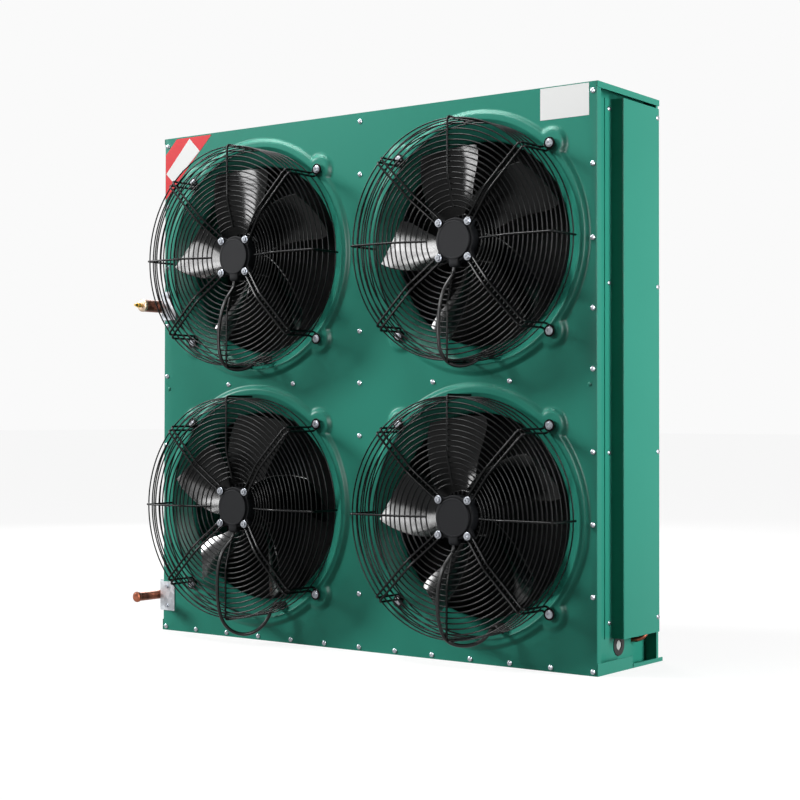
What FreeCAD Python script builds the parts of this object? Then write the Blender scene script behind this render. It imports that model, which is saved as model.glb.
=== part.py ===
import FreeCAD, Part
import math
import os

import Sketcher
from FreeCAD import Placement, Rotation, Vector

# An air-cooled condenser with four axial fans: a folded sheet cabinet, a finned
# coil behind it, and on the front four wire guards that carry the fan motors.
# The frame: X to the right, Y to the back, Z up, millimetres. The origin is the
# middle of the underside of the base tray.

DRIVING_DIMENSIONS = [
    # the cabinet, which is laid out round the fans and the coil
    ("side_margin", 14.8),
    ("top_margin", 24.7),
    ("bottom_margin", 25.3),
    ("rear_room", 9),
    ("sheet", 1.5),
    ("panel_return", 15),
    ("side_recess", 30),
    ("cover_front", 101),
    ("cover_strip", 24),
    ("cover_bottom", 60),
    ("cover_top_gap", 18),
    ("cover_end_gap", 1.5),
    ("header_room", 45),
    ("seam_width", 20),
    ("tray_edge", 24),
    ("tray_edge_length", 136),
    ("tray_slot", 3),
    ("tray_lip", 8),
    ("tray_overhang", 12),
    ("top_edge", 12),
    ("rear_edge", 25),
    ("loose", 0.3),
    # mounting holes in the tray
    ("mount_pitch_x", 960),
    ("mount_pitch_y", 150),
    ("mount_hole", 12),
    ("mount_setback", 8),
    # the fan places and the pressed openings
    ("fan_gap_x", 46.4),
    ("fan_gap_z", 10),
    ("throat", 411),
    ("throat_rear", 30),
    ("bell_width", 42),
    ("bead_height", 6),
    ("bead_crest", 8),
    ("bead_slope", 12),
    # the wire guard
    ("ear_out", 51),
    ("ear_boss", 50),
    ("guard_out", 31.5),
    ("guard_front", 95),
    ("guard_knee", 127),
    ("guard_wire", 4.5),
    ("ring_wire", 3.5),
    ("ring_pitch", 47),
    ("ring_count", 4),
    ("rim_rear", 14),
    ("wire_pair", 12),
    ("spoke_end", 12),
    ("ear_bolt", 7),
    ("ear_bolt_head", 17),
    ("ear_bolt_rise", 5),
    ("ear_bolt_reach", 22),
    # the motor and the fan
    ("motor_circle", 98),
    ("motor_bolt", 6),
    ("motor_bolt_head", 16),
    ("motor_bolt_rise", 5),
    ("motor_bolt_reach", 10),
    ("motor_face", 71),
    ("motor_cap", 88),
    ("motor_cap_length", 20),
    ("motor_lug", 19),
    ("motor_lug_length", 10),
    ("badge_plate", 77),
    ("badge_rise", 5),
    ("lead_neck_width", 24),
    ("lead_neck_end", 54),
    ("rotor", 102),
    ("rotor_wall", 9),
    ("rotor_front", 46),
    ("rotor_rear", 18),
    ("air_gap", 0.5),
    ("shaft", 15),
    ("shaft_fit", 0.05),
    ("seat_fit", 0.02),
    ("bearing_width", 11),
    ("bearing_outer", 32),
    ("stator_tube", 42),
    ("blade_count", 5),
    ("blade_sheet", 1.5),
    ("hub_ring", 2),
    ("tip_gap", 6),
    ("blade_hub_chord", 80),
    ("blade_tip_chord", 134),
    ("blade_hub_angle", 42),
    ("blade_tip_angle", 33),
    ("blade_sweep", 24),
    ("blade_dish", 9),
    ("blade_middle", 18),
    ("rest_upper_left", 170),
    ("rest_upper_right", 105),
    ("rest_lower_left", 150),
    ("rest_lower_right", 170),
    # the motor lead
    ("lead", 7.5),
    ("lead_bush", 16),
    ("lead_bush_out", 19.5),
    ("lead_bush_front", 15),
    # the coil
    ("coil_front", 167),
    ("coil_thickness", 72),
    ("coil_bottom", 28),
    ("coil_top_gap", 32),
    ("fin_pitch", 24),
    ("fin_sheet", 0.8),
    ("tube", 9.6),
    ("row_inset", 21),
    ("row_gap", 30),
    ("row_rise", 22),
    ("circuit_low", 48),
    ("circuit_pitch", 140),
    ("circuit_top_gap", 45),
    ("tube_reach", 3),
    ("gas_header", 32),
    ("gas_header_out", 22),
    ("liquid_header", 22),
    ("liquid_header_out", 5),
    ("header_margin", 18),
    # the pipe ends at the left
    ("gas_pipe", 28),
    ("gas_pipe_drop", 93.8),
    ("gas_pipe_reach", 44),
    ("gas_cap", 29),
    ("gas_cap_length", 7),
    ("liquid_pipe", 20),
    ("liquid_pipe_height", 78),
    ("liquid_pipe_reach", 56),
    ("liquid_pipe_bend", 16),
    ("liquid_cap", 24),
    ("liquid_cap_length", 9),
    ("valve_body", 8),
    ("valve_length", 21),
    ("bracket_width", 44),
    ("bracket_height", 66),
    ("bracket_out", 6),
    ("bracket_depth", 32),
    ("bracket_lug", 34),
    ("bracket_screw", 4),
    ("bracket_screw_head", 9),
    ("bracket_screw_rise", 3),
    ("bracket_screw_inset", 24),
    ("bracket_screw_pitch", 44),
    # the cable outlet in the right side
    ("outlet_hole", 34),
    ("outlet_flange", 42),
    ("outlet_bore", 20),
    ("outlet_height", 43),
    ("outlet_back", 133),
]


class Size:
    """A number that remembers its spreadsheet formula, so both stay the same."""

    def __init__(self, value, formula):
        self.value = float(value)
        self.formula = formula

    def __add__(self, other):
        other = as_size(other)
        return Size(self.value + other.value, f"({self.formula} + {other.formula})")

    def __sub__(self, other):
        other = as_size(other)
        return Size(self.value - other.value, f"({self.formula} - {other.formula})")

    def __mul__(self, other):
        other = as_size(other)
        return Size(self.value * other.value, f"({self.formula} * {other.formula})")

    def __truediv__(self, other):
        other = as_size(other)
        return Size(self.value / other.value, f"({self.formula} / {other.formula})")

    def __radd__(self, other):
        return as_size(other) + self

    def __rsub__(self, other):
        return as_size(other) - self

    def __rmul__(self, other):
        return as_size(other) * self

    def __neg__(self):
        return Size(-self.value, f"(0 - {self.formula})")


def as_size(number):
    """A Size as it is, or a plain number as a Size."""
    if isinstance(number, Size):
        return number
    return Size(number, f"({float(number):.6f})")


class Sheet:
    """The spreadsheet of driving dimensions, read as Size attributes."""

    def __init__(self, doc, rows):
        self.cells = doc.addObject("Spreadsheet::Sheet", "Sizes")
        for row, (alias, value) in enumerate(rows, start=1):
            self.cells.set(f"A{row}", alias)
            self.cells.set(f"B{row}", str(value))
            self.cells.setAlias(f"B{row}", alias)
            setattr(self, alias, Size(value, f"Sizes.{alias}"))
        doc.recompute()


doc = FreeCAD.newDocument("condenser")
S = Sheet(doc, DRIVING_DIMENSIONS)
subparts = []


def subpart(item, label):
    """Marks a finished object as one sub-part, under the name of its file."""
    item.Label = label
    subparts.append(item)
    return item


def bind(item, path, size):
    """Binds one property of an object to the formula of a size."""
    item.setExpression(path, as_size(size).formula)


def place(item, x, y, z):
    """Binds the three coordinates of an object's placement."""
    bind(item, "Placement.Base.x", x)
    bind(item, "Placement.Base.y", y)
    bind(item, "Placement.Base.z", z)


def block(name, x, y, z):
    """A box from the low and high ends of its three sides."""
    box = doc.addObject("Part::Box", name)
    bind(box, "Length", as_size(x[1]) - x[0])
    bind(box, "Width", as_size(y[1]) - y[0])
    bind(box, "Height", as_size(z[1]) - z[0])
    place(box, x[0], y[0], z[0])
    return box


# Round bars that come by the dozen are drawn with flats, which keeps the model light.
HEAD_FLATS = 6
SHANK_FLATS = 8
TUBE_FLATS = 8

AXIS_TURNS = {
    "X": Rotation(Vector(0, 1, 0), 90),
    "Y": Rotation(Vector(1, 0, 0), -90),
    "Z": Rotation(),
}


def rod(name, axis, diameter, start, end, across):
    """A cylinder along one axis, from start to end, with its centre line at across."""
    cylinder = doc.addObject("Part::Cylinder", name)
    cylinder.Placement = Placement(Vector(), AXIS_TURNS[axis])
    bind(cylinder, "Radius", as_size(diameter) / 2)
    bind(cylinder, "Height", as_size(end) - start)
    where = {"X": (start, *across), "Y": (across[0], start, across[1]), "Z": (*across, start)}
    place(cylinder, *where[axis])
    return cylinder


def bar(name, axis, flats, diameter, start, end, across):
    """A bar with flat sides along one axis; the diameter is measured over its corners."""
    prism = doc.addObject("Part::Prism", name)
    prism.Polygon = flats
    prism.Placement = Placement(Vector(), AXIS_TURNS[axis])
    bind(prism, "Circumradius", as_size(diameter) / 2)
    bind(prism, "Height", as_size(end) - start)
    where = {"X": (start, *across), "Y": (across[0], start, across[1]), "Z": (*across, start)}
    place(prism, *where[axis])
    return prism


def bolt(name, head, shank, seat, rise, reach, across):
    """A hexagon bolt along Y, its head in front of the seat and its shank behind."""
    return joined(name, [
        bar(name + "_head", "Y", HEAD_FLATS, head, seat - rise, seat, across),
        bar(name + "_shank", "Y", SHANK_FLATS, shank, seat, seat + reach, across),
    ])


def joined(name, pieces):
    """One solid of several pieces."""
    fuse = doc.addObject("Part::MultiFuse", name)
    fuse.Shapes = pieces
    fuse.Refine = True
    return fuse


def group(name, pieces):
    """Separate solids that share one node."""
    compound = doc.addObject("Part::Compound", name)
    compound.Links = pieces
    return compound


def without(name, base, tools):
    """The base with the tools cut away."""
    cut = doc.addObject("Part::Cut", name)
    cut.Base = base
    cut.Tool = tools[0] if len(tools) == 1 else group(name + "_cutters", tools)
    return cut


def outline(sketch, corners):
    """A closed outline of straight lines, each corner bound to its two sizes."""
    points = [Vector(as_size(u).value, as_size(v).value, 0) for u, v in corners]
    count = len(points)
    for index in range(count):
        sketch.addGeometry(Part.LineSegment(points[index], points[(index + 1) % count]))
    for index in range(count):
        following = (index + 1) % count
        sketch.addConstraint(Sketcher.Constraint("Coincident", index, 2, following, 1))
    for index, (u, v) in enumerate(corners):
        for kind, size in (("DistanceX", as_size(u)), ("DistanceY", as_size(v))):
            if size.value == 0:
                line = -2 if kind == "DistanceX" else -1
                sketch.addConstraint(Sketcher.Constraint("PointOnObject", index, 1, line))
                continue
            constraint = Sketcher.Constraint(kind, -1, 1, index, 1, size.value)
            number = sketch.addConstraint(constraint)
            sketch.setExpression(f"Constraints[{number}]", size.formula)


def turned(name, corners, x, y, z):
    """A body turned about an axis along Y, from an outline of (radius, depth) corners."""
    body = doc.addObject("PartDesign::Body", name)
    sketch = body.newObject("Sketcher::SketchObject", name + "_outline")
    origin_plane = [o for o in body.Origin.OriginFeatures if o.Role == "XY_Plane"][0]
    sketch.AttachmentSupport = (origin_plane, [""])
    sketch.MapMode = "FlatFace"
    outline(sketch, corners)
    turn = body.newObject("PartDesign::Revolution", name + "_turn")
    turn.Profile = sketch
    turn.ReferenceAxis = (sketch, ["V_Axis"])
    turn.Angle = 360
    body.Tip = turn
    place(body, x, y, z)
    return body


def coded(name, shape, position, turn=Rotation()):
    """A feature whose shape is worked out in code, and then turned and placed."""
    feature = doc.addObject("Part::Feature", name)
    feature.Shape = shape
    feature.Placement = Placement(Vector(), turn)
    place(feature, *position)
    return feature


# The fans set the cabinet's width and height: a gap between the pressings, a margin outside.
pressing = S.throat / 2 + S.bell_width + S.bead_crest + S.bead_slope
fan_pitch_x = pressing * 2 + S.fan_gap_x
fan_pitch_z = pressing * 2 + S.fan_gap_z
fan_low = pressing + S.bottom_margin
half_width = fan_pitch_x / 2 + pressing + S.side_margin
cabinet_height = fan_low + fan_pitch_z + pressing + S.top_margin
cabinet_depth = S.coil_front + S.coil_thickness + S.rear_room

# Planes and circles that many pieces share.
front = -cabinet_depth / 2
rear = cabinet_depth / 2
panel_back = front + S.sheet
recess = half_width - S.side_recess
under_top = cabinet_height - S.sheet
coil_face = front + S.coil_front
coil_top = cabinet_height - S.coil_top_gap
ear_circle = S.throat + S.ear_out * 2
guard_width = S.throat + S.guard_out * 2
gas_pipe_height = fan_low + fan_pitch_z - S.gas_pipe_drop

# The rear row of tubes stands higher than the front row, so the bends lean by this much.
ROW_LEAN = math.atan2(S.row_rise.value, S.row_gap.value)
COS_OF_ROWS = Size(math.cos(ROW_LEAN), "cos(atan2(Sizes.row_rise; Sizes.row_gap))")

SIDES = {"right": 1, "left": -1}
FANS = {
    "upper_left": (-1, 1),
    "upper_right": (1, 1),
    "lower_left": (-1, 0),
    "lower_right": (1, 0),
}


def fan_centre(fan):
    """The x and z of one fan's axis."""
    side, level = FANS[fan]
    return fan_pitch_x / 2 * side, fan_low + fan_pitch_z * level


def mirrored(side, low, high):
    """The x range of a piece that lies at the same place on either side."""
    return (low, high) if side > 0 else (-high, -low)


def base_tray():
    """A folded floor with upturned side edges, a front edge and mounting holes."""
    inside = half_width - S.sheet
    floor = block("tray_floor", (-half_width, half_width), (panel_back, rear + S.tray_overhang),
                  (0, S.sheet))
    edge = block("tray_front_edge", (-(recess - S.sheet - S.loose), recess - S.sheet - S.loose),
                 (panel_back, panel_back + S.sheet), (S.sheet, S.tray_edge))
    pieces = [floor, edge]
    high_end = front + S.tray_edge_length
    for side, sign in SIDES.items():
        x = mirrored(sign, inside, half_width)
        pieces.append(block(f"tray_side_{side}", x, (front, high_end), (0, S.tray_edge)))
        pieces.append(block(f"tray_lip_{side}", x, (high_end + S.tray_slot, rear + S.tray_overhang),
                            (0, S.tray_lip)))
    holes = []
    for x in (-S.mount_pitch_x / 2, S.mount_pitch_x / 2):
        for y in (-S.mount_pitch_y / 2, S.mount_pitch_y / 2):
            holes.append(rod("tray_hole", "Z", S.mount_hole, -S.sheet, S.sheet * 2,
                             (x, y - S.mount_setback)))
    subpart(without("base_tray", joined("tray_folded", pieces), holes), "base_tray")


def pressed_ring(fan):
    """The pressed bead and bell round one opening."""
    x, z = fan_centre(fan)
    throat = S.throat / 2
    middle = throat + S.bell_width / 3
    crest = throat + S.bell_width
    top = -S.bead_height
    deep = S.throat_rear / 3 - S.bead_height
    deeper = S.throat_rear * 2 / 3 - S.bead_height
    return turned(f"bell_{fan}", [
        (pressing, 0),
        (crest + S.bead_crest, top),
        (crest, top),
        (middle, deep),
        (throat, deeper),
        (throat, S.throat_rear),
        (throat + S.sheet, S.throat_rear),
        (throat + S.sheet, deeper + S.sheet / 2),
        (middle + S.sheet, deep + S.sheet),
        (crest + S.bead_crest / 2, top + S.sheet),
        (pressing, S.sheet),
    ], x, front, z)


def four_points(fan, circle):
    """Four points at 45 degrees on a circle about one fan's axis."""
    x, z = fan_centre(fan)
    angles = [math.radians(45 + 90 * corner) for corner in range(4)]
    return [(x + circle / 2 * math.cos(a), z + circle / 2 * math.sin(a)) for a in angles]


def ear_points(fan):
    """The x and z of the four guard bolts of one fan."""
    return four_points(fan, ear_circle)


def lug_points(fan):
    """The x and z of the four bolts that hold one motor to its guard."""
    return four_points(fan, S.motor_circle)


def fan_panel():
    """The front panel: one sheet with returned sides and four pressed openings."""
    side_in = half_width - S.sheet
    pieces = [block("panel_plate", (-side_in, side_in), (front, panel_back),
                    (0, cabinet_height))]
    for side, sign in SIDES.items():
        x = mirrored(sign, side_in - S.sheet, side_in)
        pieces.append(block(f"panel_return_{side}", x, (front, front + S.panel_return),
                            (S.sheet, under_top)))
    openings = []
    rings = []
    holes = []
    for fan in FANS:
        for ear in ear_points(fan):
            pieces.append(rod(f"ear_boss_{fan}", "Y", S.ear_boss, front - S.bead_height,
                              panel_back, ear))
            holes.append(bar("ear_hole", "Y", SHANK_FLATS, S.ear_bolt + S.loose * 2,
                             front - S.sheet - S.bead_height, panel_back + S.sheet, ear))
        openings.append(rod(f"opening_{fan}", "Y", S.throat + S.bell_width * 2,
                            front - S.bead_height * 2, panel_back + S.sheet, fan_centre(fan)))
        rings.append(pressed_ring(fan))
        holes.append(rod("bush_hole", "Y", S.lead_bush + S.loose * 2,
                         front - S.bead_height - S.sheet, front + S.throat_rear,
                         bush_place(fan)))
    pierced = without("panel_pierced", joined("panel_folded", pieces), openings)
    pressed = joined("panel_pressed", [pierced] + rings)
    subpart(without("fan_panel", pressed, holes), "fan_panel")


def bush_place(fan):
    """The x and z of the bush by which one motor lead enters the cabinet."""
    x, z = fan_centre(fan)
    angle = math.radians(LEAD_BUSH_ANGLES[fan])
    radius = S.throat / 2 + S.lead_bush_out
    return x + radius * math.cos(angle), z + radius * math.sin(angle)


def top_panel():
    """The roof, with a narrow edge on each side and flanges front and rear."""
    reach = recess - S.sheet - S.loose
    pieces = [
        block("roof", (-half_width, half_width), (panel_back, rear), (under_top, cabinet_height)),
        block("roof_front", (-reach, reach), (panel_back, panel_back + S.sheet),
              (cabinet_height - S.tray_edge, cabinet_height)),
        block("roof_rear", (-reach, reach), (rear - S.sheet, rear),
              (cabinet_height - S.rear_edge, cabinet_height)),
    ]
    for side, sign in SIDES.items():
        x = mirrored(sign, half_width - S.sheet, half_width)
        pieces.append(block(f"roof_side_{side}", x, (front, rear),
                            (cabinet_height - S.top_edge, cabinet_height)))
    subpart(joined("top_panel", pieces), "top_panel")


def side_plates():
    """The recessed plates beside the fans, each with a flange behind the front panel."""
    for side, sign in SIDES.items():
        web_x = mirrored(sign, recess - S.sheet, recess)
        lip_x = mirrored(sign, recess - S.sheet, half_width - S.sheet * 2 - S.loose)
        web = block(f"side_web_{side}", web_x, (panel_back, coil_face), (S.sheet, under_top))
        lip = block(f"side_lip_{side}", lip_x, (panel_back, panel_back + S.sheet),
                    (S.sheet, under_top))
        folded = joined(f"side_folded_{side}", [web, lip])
        if side == "right":
            hole = rod("outlet_hole_cutter", "X", S.outlet_hole, recess - S.sheet * 2,
                       recess + S.sheet, (front + S.outlet_back, S.outlet_height))
            folded = without("side_plate_right", folded, [hole])
        subpart(folded, f"side_plate_{side}")


def dividers():
    """The baffles that keep each fan's air apart, with flanges for the panel's screws."""
    half_seam = S.seam_width / 2
    half_sheet = S.sheet / 2
    web = block("upright_web", (-half_sheet, half_sheet), (panel_back + S.sheet, coil_face),
                (S.sheet, under_top))
    lip = block("upright_lip", (-half_seam, half_seam), (panel_back, panel_back + S.sheet),
                (S.tray_edge, cabinet_height - S.tray_edge))
    subpart(joined("divider_upright", [web, lip]), "divider_upright")
    middle = fan_low + fan_pitch_z / 2
    shelves = []
    for side, sign in SIDES.items():
        web = block(f"shelf_web_{side}", mirrored(sign, half_sheet, recess - S.sheet),
                    (panel_back + S.sheet, coil_face), (middle - half_sheet, middle + half_sheet))
        lip = block(f"shelf_lip_{side}", mirrored(sign, half_seam, recess - S.sheet),
                    (panel_back, panel_back + S.sheet), (middle - half_seam, middle + half_seam))
        shelves.append(joined(f"shelf_{side}", [web, lip]))
    subpart(group("divider_shelves", shelves), "divider_shelves")


def end_covers():
    """The covers over the bends at the right and over the headers at the left."""
    strip_front = front + S.cover_front - S.cover_strip
    wall_front = front + S.cover_front
    z = (S.cover_bottom, cabinet_height - S.cover_top_gap)
    for side, sign in SIDES.items():
        outer = half_width if side == "right" else half_width + S.header_room
        strip = block(f"cover_strip_{side}", mirrored(sign, recess, recess + S.sheet),
                      (strip_front, wall_front + S.sheet), z)
        wall = block(f"cover_wall_{side}", mirrored(sign, recess, outer),
                     (wall_front, wall_front + S.sheet), z)
        skin = block(f"cover_skin_{side}", mirrored(sign, outer - S.sheet, outer),
                     (wall_front, rear - S.cover_end_gap), z)
        pieces = [strip, wall, skin]
        if side == "left":
            pieces.append(block("cover_back_left", mirrored(sign, half_width - S.sheet, outer),
                                (rear - S.cover_end_gap - S.sheet, rear - S.cover_end_gap), z))
            holes = []
            for diameter, height in ((S.gas_pipe, gas_pipe_height),
                                     (S.liquid_pipe, S.liquid_pipe_height)):
                holes.append(rod("pipe_hole", "Y", diameter + S.loose * 2, wall_front - S.sheet,
                                 wall_front + S.sheet * 2, (pipe_x(), height)))
            subpart(without("cover_left", joined("cover_left_folded", pieces), holes),
                    "cover_left")
        else:
            subpart(joined("cover_right", pieces), "cover_right")


def tube_sheets():
    """The end plates of the coil, folded outwards at the rear, and one in the middle."""
    z = (S.sheet, under_top)
    flange_rear = rear - S.cover_end_gap - S.sheet
    for side, sign in SIDES.items():
        web = block(f"end_web_{side}", mirrored(sign, recess - S.sheet, recess),
                    (coil_face, flange_rear), z)
        flange = block(f"end_flange_{side}",
                       mirrored(sign, recess - S.sheet, half_width - S.sheet - S.loose),
                       (flange_rear - S.sheet, flange_rear), z)
        lip = block(f"end_lip_{side}",
                    mirrored(sign, half_width - S.sheet * 2 - S.loose, half_width - S.sheet - S.loose),
                    (flange_rear - S.tray_lip, flange_rear), z)
        subpart(joined(f"tube_sheet_{side}", [web, flange, lip]), f"tube_sheet_{side}")
    half_sheet = S.sheet / 2
    subpart(block("tube_sheet_middle", (-half_sheet, half_sheet),
                  (coil_face, coil_face + S.coil_thickness), z), "tube_sheet_middle")


def fin_pack():
    """Every fin is a plate across the tubes, at one pitch either side of the middle."""
    fins = []
    room = recess.value - S.sheet.value * 2
    count = int(room / S.fin_pitch.value)
    for side, sign in SIDES.items():
        for number in range(1, count + 1):
            middle = S.fin_pitch * number
            x = mirrored(sign, middle - S.fin_sheet / 2, middle + S.fin_sheet / 2)
            fins.append(block(f"fin_{side}", x, (coil_face, coil_face + S.coil_thickness),
                              (S.coil_bottom, coil_top)))
    subpart(group("fin_pack", fins), "fin_pack")


def circuit_heights():
    """The height of each circuit's front tube: as many as the coil has room for."""
    room = coil_top - S.circuit_top_gap - S.row_rise - S.circuit_low
    steps = int(room.value / S.circuit_pitch.value)
    return [S.circuit_low + S.circuit_pitch * k for k in range(steps + 1)]


def row_depth(row):
    """The depth of the front row (0) or the rear row (1) of tubes."""
    return coil_face + S.row_inset + S.row_gap * row


def pipe_x():
    """The x of both pipe ends, in line with the gas header."""
    return -(half_width + S.gas_header_out)


def liquid_header_x():
    """The x of the liquid header, nearer to the tube sheet."""
    return S.liquid_header_out - half_width


def coil():
    """Straight tubes in two rows, a bend for each pair, and the two headers."""
    heights = circuit_heights()
    gas_x = pipe_x()
    liquid_x = liquid_header_x()
    low = heights[0] - S.header_margin
    high = heights[-1] + S.row_rise + S.header_margin
    gas_end = rod("gas_header", "Z", S.gas_header, low, high, (gas_x, row_depth(1)))
    liquid_end = rod("liquid_header", "Z", S.liquid_header, low, high, (liquid_x, row_depth(0)))
    tube_end = recess + S.tube_reach
    front_tubes = []
    rear_tubes = []
    for height in heights:
        front_tubes.append(bar("front_tube", "X", TUBE_FLATS, S.tube, liquid_x, tube_end,
                               (row_depth(0), height)))
        rear_tubes.append(bar("rear_tube", "X", TUBE_FLATS, S.tube, gas_x, tube_end,
                              (row_depth(1), height + S.row_rise)))
    tubes = without("coil_tubes", group("tube_blanks", front_tubes + rear_tubes),
                    [gas_end, liquid_end])
    subpart(tubes, "coil_tubes")
    subpart(gas_end, "gas_header")
    subpart(liquid_end, "liquid_header")
    bends = [return_bend(tube_end, height) for height in heights]
    subpart(group("return_bends", bends), "return_bends")


def return_bend(start, height):
    """One bend from a front tube to the rear tube above it: half a turn of a tube."""
    spread = S.row_gap / COS_OF_ROWS
    section = doc.addObject("Part::RegularPolygon", "bend_section")
    section.Polygon = TUBE_FLATS
    bind(section, "Circumradius", S.tube / 2)
    bind(section, "Placement.Base.x", spread / 2)
    turn = doc.addObject("Part::Revolution", "bend")
    turn.Source = section
    turn.Axis = (0, 1, 0)
    turn.Angle = 180
    turn.Solid = True
    across = Vector(0, math.cos(ROW_LEAN), math.sin(ROW_LEAN))
    outwards = Vector(1, 0, 0)
    facing = Rotation(across, across.cross(outwards), -outwards, "ZXY")
    turn.Placement = Placement(Vector(), facing)
    place(turn, start, row_depth(0) + S.row_gap / 2, height + S.row_rise / 2)
    return turn


def pipe_ends():
    """The copper pipe ends that come out forwards, their caps, valve and brackets."""
    x = pipe_x()
    gas_header_y = row_depth(1)
    gas = rod("gas_blank", "Y", S.gas_pipe, front - S.gas_pipe_reach, gas_header_y,
              (x, gas_pipe_height))
    gas_cutter = rod("gas_header_cutter", "Z", S.gas_header, 0, cabinet_height,
                     (x, gas_header_y))
    subpart(without("gas_pipe", gas, [gas_cutter]), "gas_pipe")
    cap_front = front - S.gas_pipe_reach - S.gas_cap_length
    subpart(rod("gas_pipe_cap", "Y", S.gas_cap, cap_front, front - S.gas_pipe_reach,
                (x, gas_pipe_height)), "gas_pipe_cap")
    half_body = S.valve_body / 2
    quarter = S.valve_length / 4
    valve = turned("access_valve", [
        (0, 0), (half_body, 0), (half_body, -quarter), (half_body * 1.4, -quarter),
        (half_body * 1.4, -quarter * 2.4), (half_body, -quarter * 2.4),
        (half_body * 0.7, -S.valve_length), (0, -S.valve_length),
    ], x, cap_front, gas_pipe_height)
    subpart(valve, "access_valve")

    bend = S.liquid_pipe_bend
    liquid_y = row_depth(0)
    liquid_x = liquid_header_x()
    straight = rod("liquid_straight", "Y", S.liquid_pipe, front - S.liquid_pipe_reach,
                   liquid_y - bend, (x, S.liquid_pipe_height))
    inlet = rod("liquid_inlet", "X", S.liquid_pipe, x + bend, liquid_x,
                (liquid_y, S.liquid_pipe_height))
    elbow = doc.addObject("Part::Torus", "liquid_elbow")
    elbow.Placement = Placement(Vector(), Rotation(Vector(0, 0, 1), 90))
    bind(elbow, "Radius1", bend)
    bind(elbow, "Radius2", S.liquid_pipe / 2)
    elbow.Angle3 = 90
    place(elbow, x + bend, liquid_y - bend, S.liquid_pipe_height)
    liquid_cutter = rod("liquid_header_cutter", "Z", S.liquid_header, 0, cabinet_height,
                        (liquid_x, liquid_y))
    whole = joined("liquid_blank", [straight, elbow, inlet])
    subpart(without("liquid_pipe", whole, [liquid_cutter]), "liquid_pipe")
    subpart(rod("liquid_pipe_cap", "Y", S.liquid_cap,
                front - S.liquid_pipe_reach - S.liquid_cap_length, front - S.liquid_pipe_reach,
                (x, S.liquid_pipe_height)), "liquid_pipe_cap")

    brackets = []
    screws = []
    left_edge = -(half_width + S.bracket_out)
    right_edge = left_edge + S.bracket_width
    for diameter, height in ((S.gas_pipe, gas_pipe_height), (S.liquid_pipe, S.liquid_pipe_height)):
        z = (height - S.bracket_height / 2, height + S.bracket_height / 2)
        lug_y = (front + S.bracket_depth, front + S.bracket_depth + S.sheet)
        folded = joined("bracket_folded", [
            block("bracket_plate", (left_edge, right_edge), (front - S.sheet, front), z),
            block("bracket_leg", (left_edge, left_edge + S.sheet),
                  (front - S.sheet, front + S.bracket_depth), z),
            block("bracket_lug", (left_edge - S.bracket_lug, left_edge + S.sheet), lug_y, z),
        ])
        cutters = [rod("bracket_bore", "Y", diameter + S.loose * 2, lug_y[0] - S.sheet,
                       lug_y[1] + S.sheet, (x, height))]
        cutters.append(rod("bracket_relief", "Y", (pressing + S.sheet) * 2, front - S.sheet * 2,
                           front + S.sheet, fan_centre("upper_left")))
        for step in (-1, 1):
            screw_z = height + S.bracket_screw_pitch / 2 * step
            across = (right_edge - S.bracket_screw_inset, screw_z)
            cutters.append(bar("bracket_screw_hole", "Y", SHANK_FLATS, S.bracket_screw + S.loose * 2,
                               front - S.sheet * 2, front + S.sheet, across))
            screws.append(bolt("bracket_screw", S.bracket_screw_head, S.bracket_screw,
                               front - S.sheet, S.bracket_screw_rise, S.sheet, across))
        brackets.append(without("pipe_bracket", folded, cutters))
    subpart(group("pipe_brackets", brackets), "pipe_brackets")
    subpart(group("bracket_screws", screws), "bracket_screws")


def cable_outlet():
    """A rubber grommet in the right side plate, for the supply cable."""
    bore = S.outlet_bore / 2
    groove = S.outlet_hole / 2 - S.loose
    flange = S.outlet_flange / 2
    wall = S.sheet
    body = turned("cable_grommet", [
        (bore, -wall * 2), (flange, -wall * 2), (flange, -wall), (groove, -wall),
        (groove, 0), (flange, 0), (flange, wall), (bore, wall),
    ], recess, front + S.outlet_back, S.outlet_height)
    body.Placement = Placement(Vector(), Rotation(Vector(0, 0, 1), -90))
    place(body, recess, front + S.outlet_back, S.outlet_height)
    subpart(body, "cable_grommet")


# The wire guard of one fan, about its own axis: x right, y to the back, z up.

def square_wire(points, width):
    """A wire of square section along straight runs, with mitred corners."""
    path = Part.makePolygon(points)
    run = (points[1] - points[0]).normalize()
    across = Vector(-run.z, 0, run.x)
    if across.Length < 0.1:
        across = Vector(1, 0, 0)
    across = across.normalize() * (width / 2)
    upright = run.cross(across)
    corners = [points[0] + across + upright, points[0] - across + upright,
               points[0] - across - upright, points[0] + across - upright]
    section = Part.makePolygon(corners + corners[:1])
    return Part.Wire(path.Edges).makePipeShell([section], True, True, 1)


def wire_ring(radius, depth, width):
    """A welded ring of wire, of triangular section with its flat side in front."""
    corners = [Vector(radius - width / 2, depth - width / 2, 0),
               Vector(radius + width / 2, depth - width / 2, 0),
               Vector(radius, depth + width / 2, 0)]
    face = Part.Face(Part.makePolygon(corners + corners[:1]))
    return face.revolve(Vector(), Vector(0, 1, 0), 360)


def guard_slope(radius):
    """The depth of the guard's face at a radius: it dips to the motor's lugs."""
    knee = S.guard_knee.value
    hub = (S.motor_circle.value + S.motor_bolt_head.value) / 2 + 1
    deep = S.motor_face.value + S.guard_wire.value / 2
    if radius >= knee:
        return -S.guard_front.value
    if radius <= hub:
        return -deep
    share = (knee - radius) / (knee - hub)
    return -S.guard_front.value + share * (S.guard_front.value - deep)


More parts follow.
